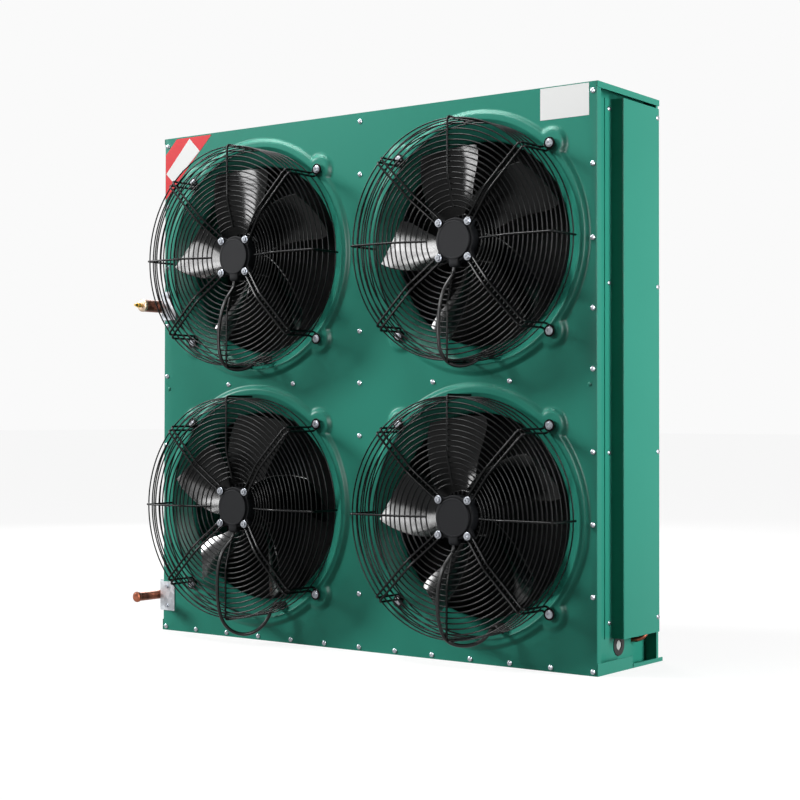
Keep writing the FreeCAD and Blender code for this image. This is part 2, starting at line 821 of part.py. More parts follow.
def guard_shape():
    """The rings of the face, the four double arms and the four single spokes."""
    wire = S.guard_wire.value
    rim = guard_width.value / 2
    ring_wire = S.ring_wire.value
    solids = []
    for number in range(int(S.ring_count.value)):
        radius = rim - S.ring_pitch.value * number
        seat = guard_slope(radius) + wire / 2 + ring_wire / 2
        solids.append(wire_ring(radius, seat, ring_wire))
    ear_y = -S.bead_height.value - wire / 2
    lug_circle = S.motor_circle.value / 2
    foot = lug_circle + S.motor_bolt_head.value / 2 + 1
    ear = (ear_circle.value + S.ear_bolt.value) / 2
    outside = rim + ring_wire / 2 + wire / 2
    spoke_start = rim - S.ring_pitch.value * (int(S.ring_count.value) - 1) - S.spoke_end.value
    for corner in range(4):
        turn = Rotation(Vector(0, 1, 0), -(45 + 90 * corner))
        for shift in (-S.wire_pair.value / 2, S.wire_pair.value / 2):
            arm = square_wire([
                Vector(lug_circle - S.motor_bolt.value / 2, guard_slope(0), shift),
                Vector(foot, guard_slope(0), shift),
                Vector(S.guard_knee.value, guard_slope(S.guard_knee.value), shift),
                Vector(outside, -S.guard_front.value, shift),
                Vector(outside, ear_y, shift),
                Vector(ear, ear_y, shift),
            ], wire)
            solids.append(arm.transformed(Placement(Vector(), turn).toMatrix()))
        turn = Rotation(Vector(0, 1, 0), -90 * corner)
        spoke = square_wire([
            Vector(spoke_start, guard_slope(spoke_start), 0),
            Vector(S.guard_knee.value, guard_slope(S.guard_knee.value), 0),
            Vector(outside, -S.guard_front.value, 0),
            Vector(outside, -S.rim_rear.value + ring_wire / 2, 0),
        ], wire)
        solids.append(spoke.transformed(Placement(Vector(), turn).toMatrix()))
    return Part.makeCompound(solids)


def guard_rim_shape():
    """The ring at the rear of the guard's rim, inside the legs of the wires."""
    radius = guard_width.value / 2
    return Part.makeCompound([wire_ring(radius, -S.rim_rear.value, S.ring_wire.value)])


def blade_section(share):
    """The arc of one blade at a share of its span: longer, flatter and swept outwards."""
    hub = S.rotor.value / 2 + S.seat_fit.value
    tip = S.throat.value / 2 - S.tip_gap.value
    radius = hub + share * (tip - hub)
    chord = S.blade_hub_chord.value + share * (S.blade_tip_chord.value
                                               - S.blade_hub_chord.value)
    pitch = math.radians(S.blade_hub_angle.value + share * (S.blade_tip_angle.value
                                                            - S.blade_hub_angle.value))
    sweep = math.radians(S.blade_sweep.value) * (1 - share)
    points = []
    for along in (-0.5, 0, 0.5):
        bow = S.blade_dish.value * (1 - 4 * along ** 2)
        angle = along * chord * math.cos(pitch) / radius + sweep
        depth = bow - S.blade_middle.value - along * chord * math.sin(pitch)
        points.append(Vector(radius * math.cos(angle), depth, radius * math.sin(angle)))
    return Part.Wire([Part.Arc(*points).toShape()])


def impeller_shape():
    """The hub ring pressed on the rotor, with the swept sheet blades welded to it."""
    inner = S.rotor.value / 2 + S.seat_fit.value
    outer = inner + S.hub_ring.value
    sheet = S.blade_sheet.value
    start = -S.rotor_front.value + sheet
    length = S.rotor_front.value + S.rotor_rear.value - sheet * 2
    axis = Vector(0, 1, 0)
    ring = Part.makeCylinder(outer, length, Vector(0, start, 0), axis)
    sections = [blade_section(share) for share in (0, 0.5, 1)]
    blade = Part.makeLoft(sections, False, True).extrude(axis * sheet)
    blades = []
    count = int(S.blade_count.value)
    for number in range(count):
        turn = Rotation(axis, 360 / count * number)
        blades.append(blade.transformed(Placement(Vector(), turn).toMatrix()))
    bore = Part.makeCylinder(inner, length * 2, Vector(0, start - length / 2, 0), axis)
    return ring.fuse(blades).cut(bore)


# Where each lead enters the cabinet: the angle of its bush on the bell.
LEAD_BUSH_ANGLES = {
    "upper_left": -83,
    "upper_right": -81,
    "lower_left": -71,
    "lower_right": -75,
}
# Each lead's route about its fan's axis, from the motor to the last bend before the bush:
# x right, y back from the panel's face, z up.
LEAD_ROUTES = {
    "upper_left": [(0, -71, -54), (0, -71, -66), (-3, -84, -79), (-9, -97, -97), (-16, -103, -126),
                   (-20, -104, -162), (-19, -104, -198), (-13, -103, -230), (-5, -91, -253),
                   (6, -70, -261), (17, -50, -255), (25, -36, -241)],
    "upper_right": [(0, -71, -54), (0, -71, -66), (-3, -84, -79), (-8, -97, -97), (-14, -103, -126),
                    (-18, -104, -162), (-18, -104, -198), (-14, -103, -230), (-6, -91, -254),
                    (6, -71, -263), (20, -51, -257), (30, -37, -242)],
    "lower_left": [(0, -71, -54), (0, -71, -66), (-4, -84, -79), (-9, -97, -96), (-14, -103, -124),
                   (-16, -104, -160), (-15, -104, -196), (-11, -101, -230), (-5, -89, -256),
                   (7, -72, -271), (25, -56, -275), (44, -44, -267), (60, -36, -251),
                   (70, -31, -232)],
    "lower_right": [(0, -71, -54), (0, -71, -66), (-4, -84, -79), (-8, -97, -96), (-14, -103, -124),
                    (-17, -104, -156), (-16, -104, -190), (-12, -102, -222), (-7, -92, -252),
                    (7, -70, -261), (22, -52, -260), (39, -40, -250), (52, -33, -234)],
}
LEAD_FLATS = 6
LEAD_END = 12


def rounded_path(points):
    """Straight runs joined by tangent arcs, and the radius of each arc."""
    edges = []
    radii = []
    last = points[0]
    for before, corner, after in zip(points, points[1:], points[2:]):
        back = before - corner
        onward = after - corner
        run = min(back.Length, onward.Length)
        turn = math.pi - back.getAngle(onward)
        cut = 0.45 * run
        radii.append(cut / math.tan(turn / 2))
        start = corner + back.normalize() * cut
        end = corner + onward.normalize() * cut
        reach = radii[-1] / math.cos(turn / 2) - radii[-1]
        crown = corner + (back + onward).normalize() * reach
        edges.append(Part.LineSegment(last, start).toShape())
        edges.append(Part.Arc(start, crown, end).toShape())
        last = end
    edges.append(Part.LineSegment(last, points[-1]).toShape())
    return Part.Wire(edges), radii


def lead_shape(fan):
    """One motor lead: a round cable on its route, checked against its own length."""
    points = [Vector(*point) for point in LEAD_ROUTES[fan]]
    angle = math.radians(LEAD_BUSH_ANGLES[fan])
    bush_radius = S.throat.value / 2 + S.lead_bush_out.value
    bush_x = bush_radius * math.cos(angle)
    bush_z = bush_radius * math.sin(angle)
    points.append(Vector(bush_x, -S.lead_bush_front.value - LEAD_END, bush_z))
    points.append(Vector(bush_x, -S.lead_bush_front.value, bush_z))
    path, radii = rounded_path(points)
    radius = S.lead.value / 2
    along = (points[1] - points[0]).normalize()
    across = along.cross(Vector(1, 0, 0)).normalize() * radius
    corners = [points[0] + Rotation(along, 360 / LEAD_FLATS * n) * across
               for n in range(LEAD_FLATS)]
    section = Part.makePolygon(corners + corners[:1])
    tube = path.makePipeShell([section], True, True)
    expected = LEAD_FLATS / 2 * math.sin(2 * math.pi / LEAD_FLATS) * radius ** 2 * path.Length
    listed = " ".join(f"{value:.0f}" for value in radii)
    print(f"lead {fan}: length {path.Length:.0f}, radii {listed}, "
          f"volume share {tube.Volume / expected:.4f}")
    return tube


def motor(fan):
    """The fixed half of an external rotor motor: cap, lugs, badge plate, core and tube."""
    x, z = fan_centre(fan)
    face = -S.motor_face
    cap_rear = face + S.motor_cap_length
    rotor_inside = S.rotor / 2 - S.rotor_wall
    core = rotor_inside - S.air_gap
    seat = S.bearing_outer / 2 + S.seat_fit
    core_front = -S.rotor_front + S.sheet
    core_rear = S.rotor_rear - S.rotor_wall * 2
    turned_part = turned(f"stator_{fan}", [
        (0, face - S.badge_rise), (S.badge_plate / 2, face - S.badge_rise),
        (S.badge_plate / 2, face), (S.motor_cap / 2, face), (S.motor_cap / 2, cap_rear),
        (core, cap_rear), (core, core_rear), (seat, core_rear), (seat, cap_rear), (0, cap_rear),
    ], x, front, z)
    lug_rear = front + face + S.motor_lug_length
    lugs = [rod(f"lug_{fan}", "Y", S.motor_lug, front + face, lug_rear, lug)
            for lug in lug_points(fan)]
    neck = block(f"neck_{fan}", (x - S.lead_neck_width / 2, x + S.lead_neck_width / 2),
                 (front + face - S.badge_rise * 2, front + face + S.motor_lug_length),
                 (z - S.lead_neck_end, z - S.badge_plate / 4))
    whole = joined(f"motor_whole_{fan}", [turned_part, neck] + lugs)
    holes = [bar(f"lug_hole_{fan}", "Y", SHANK_FLATS, S.motor_bolt + S.loose * 2, front + face,
                 lug_rear, lug) for lug in lug_points(fan)]
    subpart(without(f"motor_{fan}", whole, holes), f"motor_{fan}")


def bearings(fan):
    """Two ball bearings in the stator's tube, each drawn as one ring."""
    x, z = fan_centre(fan)
    bore = S.shaft / 2 + S.shaft_fit
    outer = S.bearing_outer / 2
    front_seat = -S.motor_face + S.motor_cap_length
    rear_seat = S.rotor_rear - S.rotor_wall * 2 - S.bearing_width
    rings = []
    for number, start in enumerate((front_seat, rear_seat)):
        end = start + S.bearing_width
        rings.append(turned(f"bearing_{number}_{fan}", [
            (bore, start), (outer, start), (outer, end), (bore, end),
        ], x, front, z))
    subpart(group(f"bearings_{fan}", rings), f"bearings_{fan}")


def rotor(fan):
    """The turning bell of the motor, and the shaft pressed into it."""
    x, z = fan_centre(fan)
    outer = S.rotor / 2
    inner = outer - S.rotor_wall
    mouth = -S.rotor_front
    floor = S.rotor_rear - S.rotor_wall
    bore = S.shaft / 2 + S.seat_fit
    subpart(turned(f"rotor_{fan}", [
        (inner, mouth), (outer, mouth), (outer, S.rotor_rear), (bore, S.rotor_rear),
        (bore, floor), (inner, floor),
    ], x, front, z), f"rotor_{fan}")
    subpart(rod(f"shaft_{fan}", "Y", S.shaft,
                front - S.motor_face + S.motor_cap_length + S.loose, front + S.rotor_rear,
                (x, z)), f"shaft_{fan}")


def fan_sets():
    """Guard, motor, bearings, rotor, shaft, impeller and lead of every fan."""
    guard = guard_shape()
    rim = guard_rim_shape()
    impeller = impeller_shape()
    for fan in FANS:
        x, z = fan_centre(fan)
        origin = (x, front, z)
        subpart(coded(f"guard_{fan}", guard, origin), f"guard_{fan}")
        subpart(coded(f"guard_rim_{fan}", rim, origin), f"guard_rim_{fan}")
        motor(fan)
        bearings(fan)
        rotor(fan)
        rest = getattr(S, f"rest_{fan}").value
        at_rest = Rotation(Vector(0, -1, 0), rest)
        subpart(coded(f"impeller_{fan}", impeller, origin, at_rest), f"impeller_{fan}")
        subpart(coded(f"lead_{fan}", lead_shape(fan), origin), f"lead_{fan}")


def bolts():
    """The bolts through the guards' ears, and those through the guards into the motors."""
    ear_seat = front - S.bead_height - S.guard_wire
    motor_seat = front - S.motor_face - S.guard_wire
    ear_set = []
    motor_set = []
    for fan in FANS:
        for ear in ear_points(fan):
            ear_set.append(bolt("ear_bolt", S.ear_bolt_head, S.ear_bolt, ear_seat,
                                S.ear_bolt_rise, S.ear_bolt_reach, ear))
        for lug in lug_points(fan):
            motor_set.append(bolt("motor_bolt", S.motor_bolt_head, S.motor_bolt, motor_seat,
                                  S.motor_bolt_rise, S.motor_bolt_reach, lug))
    subpart(group("guard_bolts", ear_set), "guard_bolts")
    subpart(group("motor_bolts", motor_set), "motor_bolts")
    bushes = []
    for fan in FANS:
        bushes.append(rod("lead_bush", "Y", S.lead_bush, front - S.lead_bush_front,
                          front + S.throat_rear / 2, bush_place(fan)))
    subpart(group("lead_bushes", bushes), "lead_bushes")


def check_and_write():
    """Stops if an object failed, and otherwise writes one file for each sub-part."""
    doc.recompute()
    for item in doc.Objects:
        if {"Invalid", "Error"} & set(item.State):
            raise RuntimeError(f"{item.Label} did not compute")
    os.makedirs("parts", exist_ok=True)
    for item in subparts:
        if item.Shape.isNull() or not item.Shape.isValid():
            raise RuntimeError(f"{item.Label} is not a valid shape")
        item.Shape.exportStep(f"parts/{item.Label}.step")
    print(f"{len(subparts)} sub-parts written")


base_tray()
fan_panel()
top_panel()
side_plates()
dividers()
end_covers()
tube_sheets()
fin_pack()
coil()
pipe_ends()
cable_outlet()
fan_sets()
bolts()
check_and_write()
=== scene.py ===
# %% [markdown]
# # An air-cooled condenser with four fans
# This notebook dresses a solid model of a refrigeration condenser: a green sheet cabinet, a
# finned coil at its back and four fans behind wire guards. The solids bring every size and
# place. Here they get finishes, and the pieces whose look lies in a smooth surface, such as
# pressed sheet, bent wire and swept blades, are worked out anew as surfaces on those places.

import math

import bpy
import bmesh
import numpy as np
from mathutils import Matrix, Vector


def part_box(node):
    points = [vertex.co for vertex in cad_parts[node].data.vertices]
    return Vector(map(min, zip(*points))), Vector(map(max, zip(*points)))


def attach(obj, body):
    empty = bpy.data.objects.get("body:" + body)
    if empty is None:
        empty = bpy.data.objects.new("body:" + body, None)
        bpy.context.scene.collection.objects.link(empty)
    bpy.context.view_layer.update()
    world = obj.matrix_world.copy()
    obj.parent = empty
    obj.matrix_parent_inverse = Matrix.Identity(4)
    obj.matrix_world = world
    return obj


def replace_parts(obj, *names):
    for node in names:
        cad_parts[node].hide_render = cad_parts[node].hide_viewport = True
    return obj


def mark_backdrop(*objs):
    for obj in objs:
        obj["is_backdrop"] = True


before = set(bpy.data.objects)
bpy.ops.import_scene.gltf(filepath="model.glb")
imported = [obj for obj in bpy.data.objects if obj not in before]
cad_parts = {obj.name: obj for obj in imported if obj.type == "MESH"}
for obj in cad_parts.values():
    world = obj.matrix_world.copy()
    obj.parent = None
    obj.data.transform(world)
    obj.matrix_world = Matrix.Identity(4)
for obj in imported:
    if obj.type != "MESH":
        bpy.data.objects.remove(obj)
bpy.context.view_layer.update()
MM = 0.001

# %% [markdown]
# ## Places taken from the solids
# Each fan is found from its rotor: the middle of the rotor's box is the fan's axis. The front
# face of the sheet lies flush with the tray's edge. In front of the face Y is smaller, inside
# the cabinet it is larger, and every depth below counts from the face.

# %% Fan axes and the front face
FANS = ("upper_left", "upper_right", "lower_left", "lower_right")
SHEET = 1.5 * MM


def axis_of(fan):
    """The X and Z of a fan's axis: the middle of its rotor's box."""
    low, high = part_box(f"rotor_{fan}")
    return round((low.x + high.x) / 2, 4), round((low.z + high.z) / 2, 4)


AXES = {fan: axis_of(fan) for fan in FANS}
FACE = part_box("base_tray")[0].y
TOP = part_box("top_panel")[1].z
HALF_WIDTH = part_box("fan_panel")[1].x
print("front face", round(FACE, 4), "fan axes", {f: np.round(p, 4) for f, p in AXES.items()})

# %% [markdown]
# ## The camera
# The picture was taken from the right and from below the middle, with a long lens. Its place was
# worked out from the cabinet's parallel edges and screw rows. A camera looks along its own -Z,
# so it is tipped up to the horizon, raised by the pitch and then turned by the yaw. The Standard
# view shows each colour as it is written, without a film-like curve. One small function puts
# the camera into the scene, and later every mesh, curve and lamp.

# %% Camera
CAMERA_PLACE = (2.1365, -2.8546, 0.4920)
CAMERA_YAW, CAMERA_PITCH, CAMERA_ROLL = 36.633, 1.011, 0.106
CAMERA_LENS = 74.28
OPTICAL_CENTRE_UP = 13.3 / 800


def new_object(name, data):
    """An object in the scene that holds the data."""
    made = bpy.data.objects.new(name, data)
    bpy.context.scene.collection.objects.link(made)
    return made


camera = new_object("camera", bpy.data.cameras.new("camera"))
camera.matrix_world = (Matrix.Translation(CAMERA_PLACE)
                       @ Matrix.Rotation(math.radians(CAMERA_YAW), 4, "Z")
                       @ Matrix.Rotation(math.radians(90 + CAMERA_PITCH), 4, "X")
                       @ Matrix.Rotation(math.radians(CAMERA_ROLL), 4, "Z"))
camera.data.sensor_width = 36
camera.data.lens = CAMERA_LENS
camera.data.shift_y = -OPTICAL_CENTRE_UP
bpy.context.scene.camera = camera
bpy.context.scene.view_settings.view_transform = "Standard"
print("camera lens", CAMERA_LENS, "mm")

# %% [markdown]
# ## Colour and nodes
# Paint charts and pictures give colours as sRGB, while the renderer counts in linear light, so
# one function turns a hex value into linear numbers. A second small function adds any node to a
# material with its settings and links, so each finish below reads as a short recipe. Patterns
# read Object coordinates, which are metres here, so a noise's scale is lumps to the metre.

# %% Helpers for finishes


def linear(code):
    """Linear red, green, blue and alpha from an sRGB hex code, by the standard sRGB curve."""
    channels = np.array([int(code[i:i + 2], 16) for i in (1, 3, 5)]) / 255
    curved = ((channels + 0.055) / 1.055) ** 2.4
    return (*np.where(channels <= 0.04045, channels / 12.92, curved).tolist(), 1.0)


def add(finish, kind, sockets, **settings):
    """Adds one node. A socket takes a number, a colour or another node's output."""
    made = finish.node_tree.nodes.new(kind)
    for name, value in settings.items():
        setattr(made, name, value)
    for name, value in sockets.items():
        if isinstance(value, bpy.types.NodeSocket):
            finish.node_tree.links.new(value, made.inputs[name])
        else:
            made.inputs[name].default_value = value
    return made


def new_finish(name, colour, **sockets):
    """A material with one Principled shader, its base colour and other sockets set."""
    finish = bpy.data.materials.new(name)
    finish.use_nodes = True
    shader = finish.node_tree.nodes["Principled BSDF"]
    shader.inputs["Base Color"].default_value = linear(colour)
    for socket, value in sockets.items():
        label = socket.replace("_", " ").title().replace("Ior", "IOR")
        shader.inputs[label].default_value = value
    return finish, shader


def link(finish, output, shader, socket):
    """Feeds one of the shader's sockets from another node's output."""
    finish.node_tree.links.new(output, shader.inputs[socket])


def noise(finish, scale, detail):
    """Noise on Object coordinates: scale is the number of lumps in a metre."""
    place = add(finish, "ShaderNodeTexCoord", {}).outputs["Object"]
    made = add(finish, "ShaderNodeTexNoise", {"Vector": place, "Scale": scale, "Detail": detail})
    return made.outputs["Fac"]


def tint(finish, shader, factor, colour, other):
    """A base colour between two tones, as far along as the factor's node says."""
    tone = add(finish, "ShaderNodeMix", {0: factor, 6: linear(colour), 7: linear(other)},
               data_type="RGBA")
    link(finish, tone.outputs[2], shader, "Base Color")


# %% [markdown]
# ## Powder coat
# The sheet is steel with a baked green powder coat. Powder melts into a skin with a fine
# orange-peel surface, lumps about two millimetres apart, that breaks up reflections. The coat is
# laid on by hand, so its tone drifts a little over a whole panel.

# %% Green powder coat


def powder_coat(name, colour, shade, roughness):
    """Orange-peel bump 2 mm apart, and a slow drift between two near tones."""
    finish, shader = new_finish(name, colour, roughness=roughness, specular_ior_level=0.1)
    tint(finish, shader, noise(finish, 2.5, 3.0), colour, shade)
    peel = noise(finish, 500.0, 1.0)
    bump = add(finish, "ShaderNodeBump", {"Height": peel, "Strength": 0.06, "Distance": 0.0006})
    link(finish, bump.outputs["Normal"], shader, "Normal")
    return finish


GREEN = powder_coat("green powder coat", "#308B78", "#2A806E", 0.32)
print("finish:", GREEN.name)

# %% [markdown]
# ## Black finishes
# Four blacks meet on a fan. The guard wire has a thick glossy powder coat, the die-cast motor
# cover a dull one, the sheet blades are dipped and shine, and the lead has a satin vinyl sheath.
# Each has a grain of its own, and its gloss drifts a little as on a handled surface.

# %% Blacks


def grained_coat(name, colour, roughness, grain, depth, gloss=0.5):
    """One colour, a grain in lumps to the metre, and a roughness that drifts a little."""
    finish, shader = new_finish(name, colour, roughness=roughness, specular_ior_level=gloss)
    bump = add(finish, "ShaderNodeBump",
               {"Height": noise(finish, grain, 2.0), "Strength": depth, "Distance": 0.001})
    link(finish, bump.outputs["Normal"], shader, "Normal")
    cloud = noise(finish, 30.0, 3.0)
    spread = add(finish, "ShaderNodeMapRange",
                 {"Value": cloud, "To Min": roughness * 0.85, "To Max": roughness * 1.2})
    link(finish, spread.outputs["Result"], shader, "Roughness")
    return finish


WIRE_BLACK = grained_coat("black powder coat on wire", "#040506", 0.22, 260.0, 0.10, 0.12)
CAST_BLACK = grained_coat("black paint on die casting", "#131417", 0.55, 700.0, 0.22, 0.10)
BLADE_BLACK = grained_coat("black stoved enamel", "#040506", 0.14, 14.0, 0.10, 0.24)
SHEATH = grained_coat("black vinyl sheath", "#0A0B0C", 0.34, 900.0, 0.05, 0.25)
RUBBER = grained_coat("black rubber", "#141414", 0.70, 800.0, 0.15)
print("finishes:", [m.name for m in (WIRE_BLACK, CAST_BLACK, BLADE_BLACK, SHEATH, RUBBER)])

# %% [markdown]
# ## Bare metals
# A metal's colour is all in its reflection, so each is a metallic shader with its own tint and
# roughness. Zinc plate is bright and slightly blue, hot-dip galvanising has grey flowers a
# centimetre wide, and copper dulls to brown in patches.

# %% Metals


def bare_metal(name, colour, stain, roughness, patches, dirt=0.5):
    """A metal whose tint wanders to a stain in patches of the given number to the metre."""
    finish, shader = new_finish(name, colour, metallic=1.0, roughness=roughness)
    cloud = noise(finish, patches, 4.0)
    edge = add(finish, "ShaderNodeMapRange",
               {"Value": cloud, "From Min": 0.42, "From Max": 0.66, "To Max": dirt})
    tint(finish, shader, edge.outputs["Result"], colour, stain)
    rough = add(finish, "ShaderNodeMapRange",
                {"Value": cloud, "To Min": roughness * 0.8, "To Max": roughness * 1.4})
    link(finish, rough.outputs["Result"], shader, "Roughness")
    return finish


def galvanising(name):
    """Zinc flowers: Voronoi cells about 9 mm wide, each with its own grey."""
    finish, shader = new_finish(name, "#A9ADB1", metallic=1.0, roughness=0.42)
    place = add(finish, "ShaderNodeTexCoord", {}).outputs["Object"]
    cells = add(finish, "ShaderNodeTexVoronoi", {"Vector": place, "Scale": 110.0})
    tint(finish, shader, cells.outputs["Color"], "#8F9398", "#BCC0C4")
    return finish


GALVANISED = galvanising("hot-dip galvanised sheet")
ZINC = bare_metal("zinc plate", "#A2A5AB", "#6F7379", 0.28, 90.0)
COPPER = bare_metal("drawn copper", "#8F5540", "#3C2219", 0.38, 45.0, 0.9)
DULL_COPPER = bare_metal("brazed copper, browned", "#7A4534", "#33201A", 0.42, 60.0, 0.9)
CAP_PLATE = bare_metal("dull plated copper", "#B9A793", "#7B6250", 0.42, 70.0, 0.7)
BRASS = bare_metal("turned brass", "#C9A760", "#8C6C34", 0.30, 80.0)
GROUND_STEEL = bare_metal("ground steel", "#9EA1A5", "#7C7F83", 0.35, 60.0)
print("metals:", [m.name for m in (GALVANISED, ZINC, COPPER, BRASS)])

# %% [markdown]
# ## Dark fins, rubber and film
# The fins are aluminium, given a near-black colour that is painted shade: it stands in for the
# shade deep inside the coil. A grey rubber skin closes the cable's hole. The films on the front
# are smooth and slightly shiny. They differ from the blacks only in colour and grain, so one
# recipe serves.

# %% Dark fins, rubber and film
# the fins' near-black colour is painted shade for the dark inside of the coil
FIN_SHADE_BLACK = grained_coat("near-black fin stock, painted shade", "#111315", 0.62, 300.0, 0.05)
MEMBRANE = grained_coat("grey rubber membrane", "#B4B8B6", 0.60, 500.0, 0.08)
FILM_WHITE = grained_coat("white satin film", "#E2E3E2", 0.38, 1200.0, 0.03, 0.2)
FILM_RED = grained_coat("red satin film", "#D4232C", 0.34, 1200.0, 0.03, 0.2)
print("finishes:", [m.name for m in (FIN_SHADE_BLACK, MEMBRANE, FILM_WHITE, FILM_RED)])

# %% [markdown]
# ## Finishes on the solids
# Most solids keep their own shape and only need their finish. Each name's first words say what
# it is, so a short list from name to finish covers all of them.

# %% Dress the solids
SOLID_FINISHES = {
    "divider": GALVANISED, "tube_sheet_middle": GALVANISED, "pipe_brackets": GALVANISED,
    "fin_pack": FIN_SHADE_BLACK, "coil_tubes": COPPER, "return_bends": COPPER,
    "gas_header": COPPER, "liquid_header": COPPER, "gas_pipe_cap": CAP_PLATE,
    "gas_pipe": DULL_COPPER, "liquid_pipe": COPPER, "access_valve": BRASS,
    "bracket_screws": ZINC, "guard_bolts": ZINC, "motor_bolts": ZINC,
    "cable_grommet": RUBBER, "lead_bushes": RUBBER, "guard": WIRE_BLACK,
    "motor": CAST_BLACK, "rotor": CAST_BLACK, "bearings": GROUND_STEEL,
    "shaft": GROUND_STEEL, "impeller": BLADE_BLACK, "lead": SHEATH,
}


def solid_finish(name):
    """The finish whose key is the longest start of the name; bare sheet is painted green."""
    keys = [key for key in SOLID_FINISHES if name.startswith(key)]
    return SOLID_FINISHES[max(keys, key=len)] if keys else GREEN


for name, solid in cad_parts.items():
    solid.data.materials.clear()
    solid.data.materials.append(solid_finish(name))
print("dressed", len(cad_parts), "solids")

# %% [markdown]
# ## Surfaces from grids
# Nearly every new piece below is a grid of points: rows along one parameter, columns along the
# other. A grid becomes a mesh by joining neighbours with quads, and it may wrap round in either
# direction, as a ring's does. Several grids can share one mesh.

# %% Grids to meshes


def grid_faces(rows, columns, wrap_rows, wrap_columns):
    """Quads between neighbours: points (r, c), (r, c+1), (r+1, c+1) and (r+1, c) make one."""
    r = np.arange(rows if wrap_rows else rows - 1)[:, None]
    c = np.arange(columns if wrap_columns else columns - 1)[None, :]
    below, beside = (r + 1) % rows, (c + 1) % columns
    corners = (r * columns + c, r * columns + beside, below * columns + beside,
               below * columns + c)
    return np.stack([np.broadcast_to(k, (r.size, c.size)) for k in corners], -1).reshape(-1, 4)


def surface(name, grids, finish, outward=True, sharp=35):
    """A mesh object from grids, each (points, wrap_rows, wrap_columns), welded and smooth."""
    points, faces, first = [], [], 0
    for grid, wrap_rows, wrap_columns in grids:
        faces.append(grid_faces(*grid.shape[:2], wrap_rows, wrap_columns) + first)
        points.append(grid.reshape(-1, 3))
        first += points[-1].shape[0]
    points, faces = np.concatenate(points), np.concatenate(faces)
    mesh = bpy.data.meshes.new(name)
    mesh.from_pydata(points.tolist(), [], faces.tolist())
    welded = bmesh.new()
    welded.from_mesh(mesh)
    bmesh.ops.remove_doubles(welded, verts=welded.verts, dist=1e-6)
    bmesh.ops.dissolve_degenerate(welded, edges=welded.edges, dist=1e-7)
    if outward:
        bmesh.ops.recalc_face_normals(welded, faces=welded.faces)
    welded.to_mesh(mesh)
    welded.free()
    mesh.polygons.foreach_set("use_smooth", np.ones(len(mesh.polygons), bool))
    mesh.set_sharp_from_angle(angle=math.radians(sharp))
    mesh.materials.append(finish)
    return new_object(name, mesh)


def piece(name, grids, finish, body="cabinet", outward=True, sharp=35):
    """A surface that is a piece of the object, so it rides on a body."""
    made = surface(name, grids, finish, outward, sharp)
    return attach(made, body)


def circle_angles(count):
    """Even angles round a circle, without the last one that would repeat the first."""
    return np.linspace(0, 2 * math.pi, count, endpoint=False)


def around(rows, count, centre):
    """Rings round an axis along Y: x = r cos a, z = r sin a, y = face + depth.

    Each row holds a radius and a depth, and either may differ with the angle.
    """
    angle = circle_angles(count)
    radius = np.stack([np.broadcast_to(row[0], angle.shape) for row in rows])
    depth = np.stack([np.broadcast_to(row[1], angle.shape) for row in rows])
    return np.stack([centre[0] + radius * np.cos(angle), FACE + depth,
                     centre[1] + radius * np.sin(angle)], -1)


def tube(path, binormal, radius, sides, closed=False):
    """A round wire along a flat path: the section circle spans the path's normal and binormal."""
    path = np.asarray(path, float)
    along = (np.roll(path, -1, 0) - np.roll(path, 1, 0)) if closed else np.gradient(path, axis=0)
    along /= np.linalg.norm(along, axis=1)[:, None]
    side = np.cross(along, binormal)
    turn = circle_angles(sides)[None, :, None]
    ring = np.cos(turn) * side[:, None, :] + np.sin(turn) * np.asarray(binormal)[None, None, :]
    return path[:, None, :] + radius * ring


print("a square of 4 points has", len(grid_faces(2, 2, False, False)), "face")

# %% [markdown]
# ## The pressed front panel
# The front is one sheet. Round each fan it is pressed into a raised bead with a bell behind it
# that narrows to a throat, and at four places the bead swells into a flat lobe for a guard bolt.
# The bell is a cone with a round lip at its mouth and a bend into the throat. Modelling it from
# solids would leave hard creases, so each quarter of the sheet is one grid: columns go round the
# fan, rows go from the throat outwards to the quarter's straight border.

# %% Front panel
THROAT, THROAT_BEND, LIP_BEND = 205.5 * MM, 10 * MM, 5 * MM
CONE_SLOPE, BEND_ROWS = math.radians(37.5), 5
BELL_EDGE, CREST_EDGE, BEAD_FOOT = 247.5 * MM, 255.5 * MM, 267.5 * MM
BEAD_RISE = 6 * MM
EAR_CIRCLE, LOBE_FLAT, LOBE_FOOT = 256.5 * MM, 25 * MM, 36 * MM
EAR_ANGLES = np.radians((45, 135, 225, 315))
EDGE_BEND, EDGE_RETURN = 2 * MM, 15 * MM
PANEL_COLUMNS = 320
CREST_RADII = np.linspace(BELL_EDGE, BEAD_FOOT, 11)[1:]
BORDER_SHARES = (0.02, 0.05, 0.08, 0.11, 0.14, 0.17, 0.2, 0.24, 0.3, 0.6, 1.0)
MIDDLE_SEAM = (AXES["upper_left"][1] + AXES["lower_left"][1]) / 2


def smooth_step(value):
    """0 below 0, 1 above 1, and 3v^2 - 2v^3 between."""
    held = np.clip(value, 0, 1)
    return held * held * (3 - 2 * held)


def pressing(radius, angle):
    """Height of bead and lobes before the sheet: the larger of the two, each with soft edges."""
    bead = 1 - smooth_step((radius - CREST_EDGE) / (BEAD_FOOT - CREST_EDGE))
    lobes = np.zeros_like(radius)
    for ear in EAR_ANGLES:
        away = np.sqrt(radius ** 2 + EAR_CIRCLE ** 2
                       - 2 * radius * EAR_CIRCLE * np.cos(angle - ear))
        lobes = np.maximum(lobes, 1 - smooth_step((away - LOBE_FLAT) / (LOBE_FOOT - LOBE_FLAT)))
    return BEAD_RISE * np.maximum(bead, lobes)


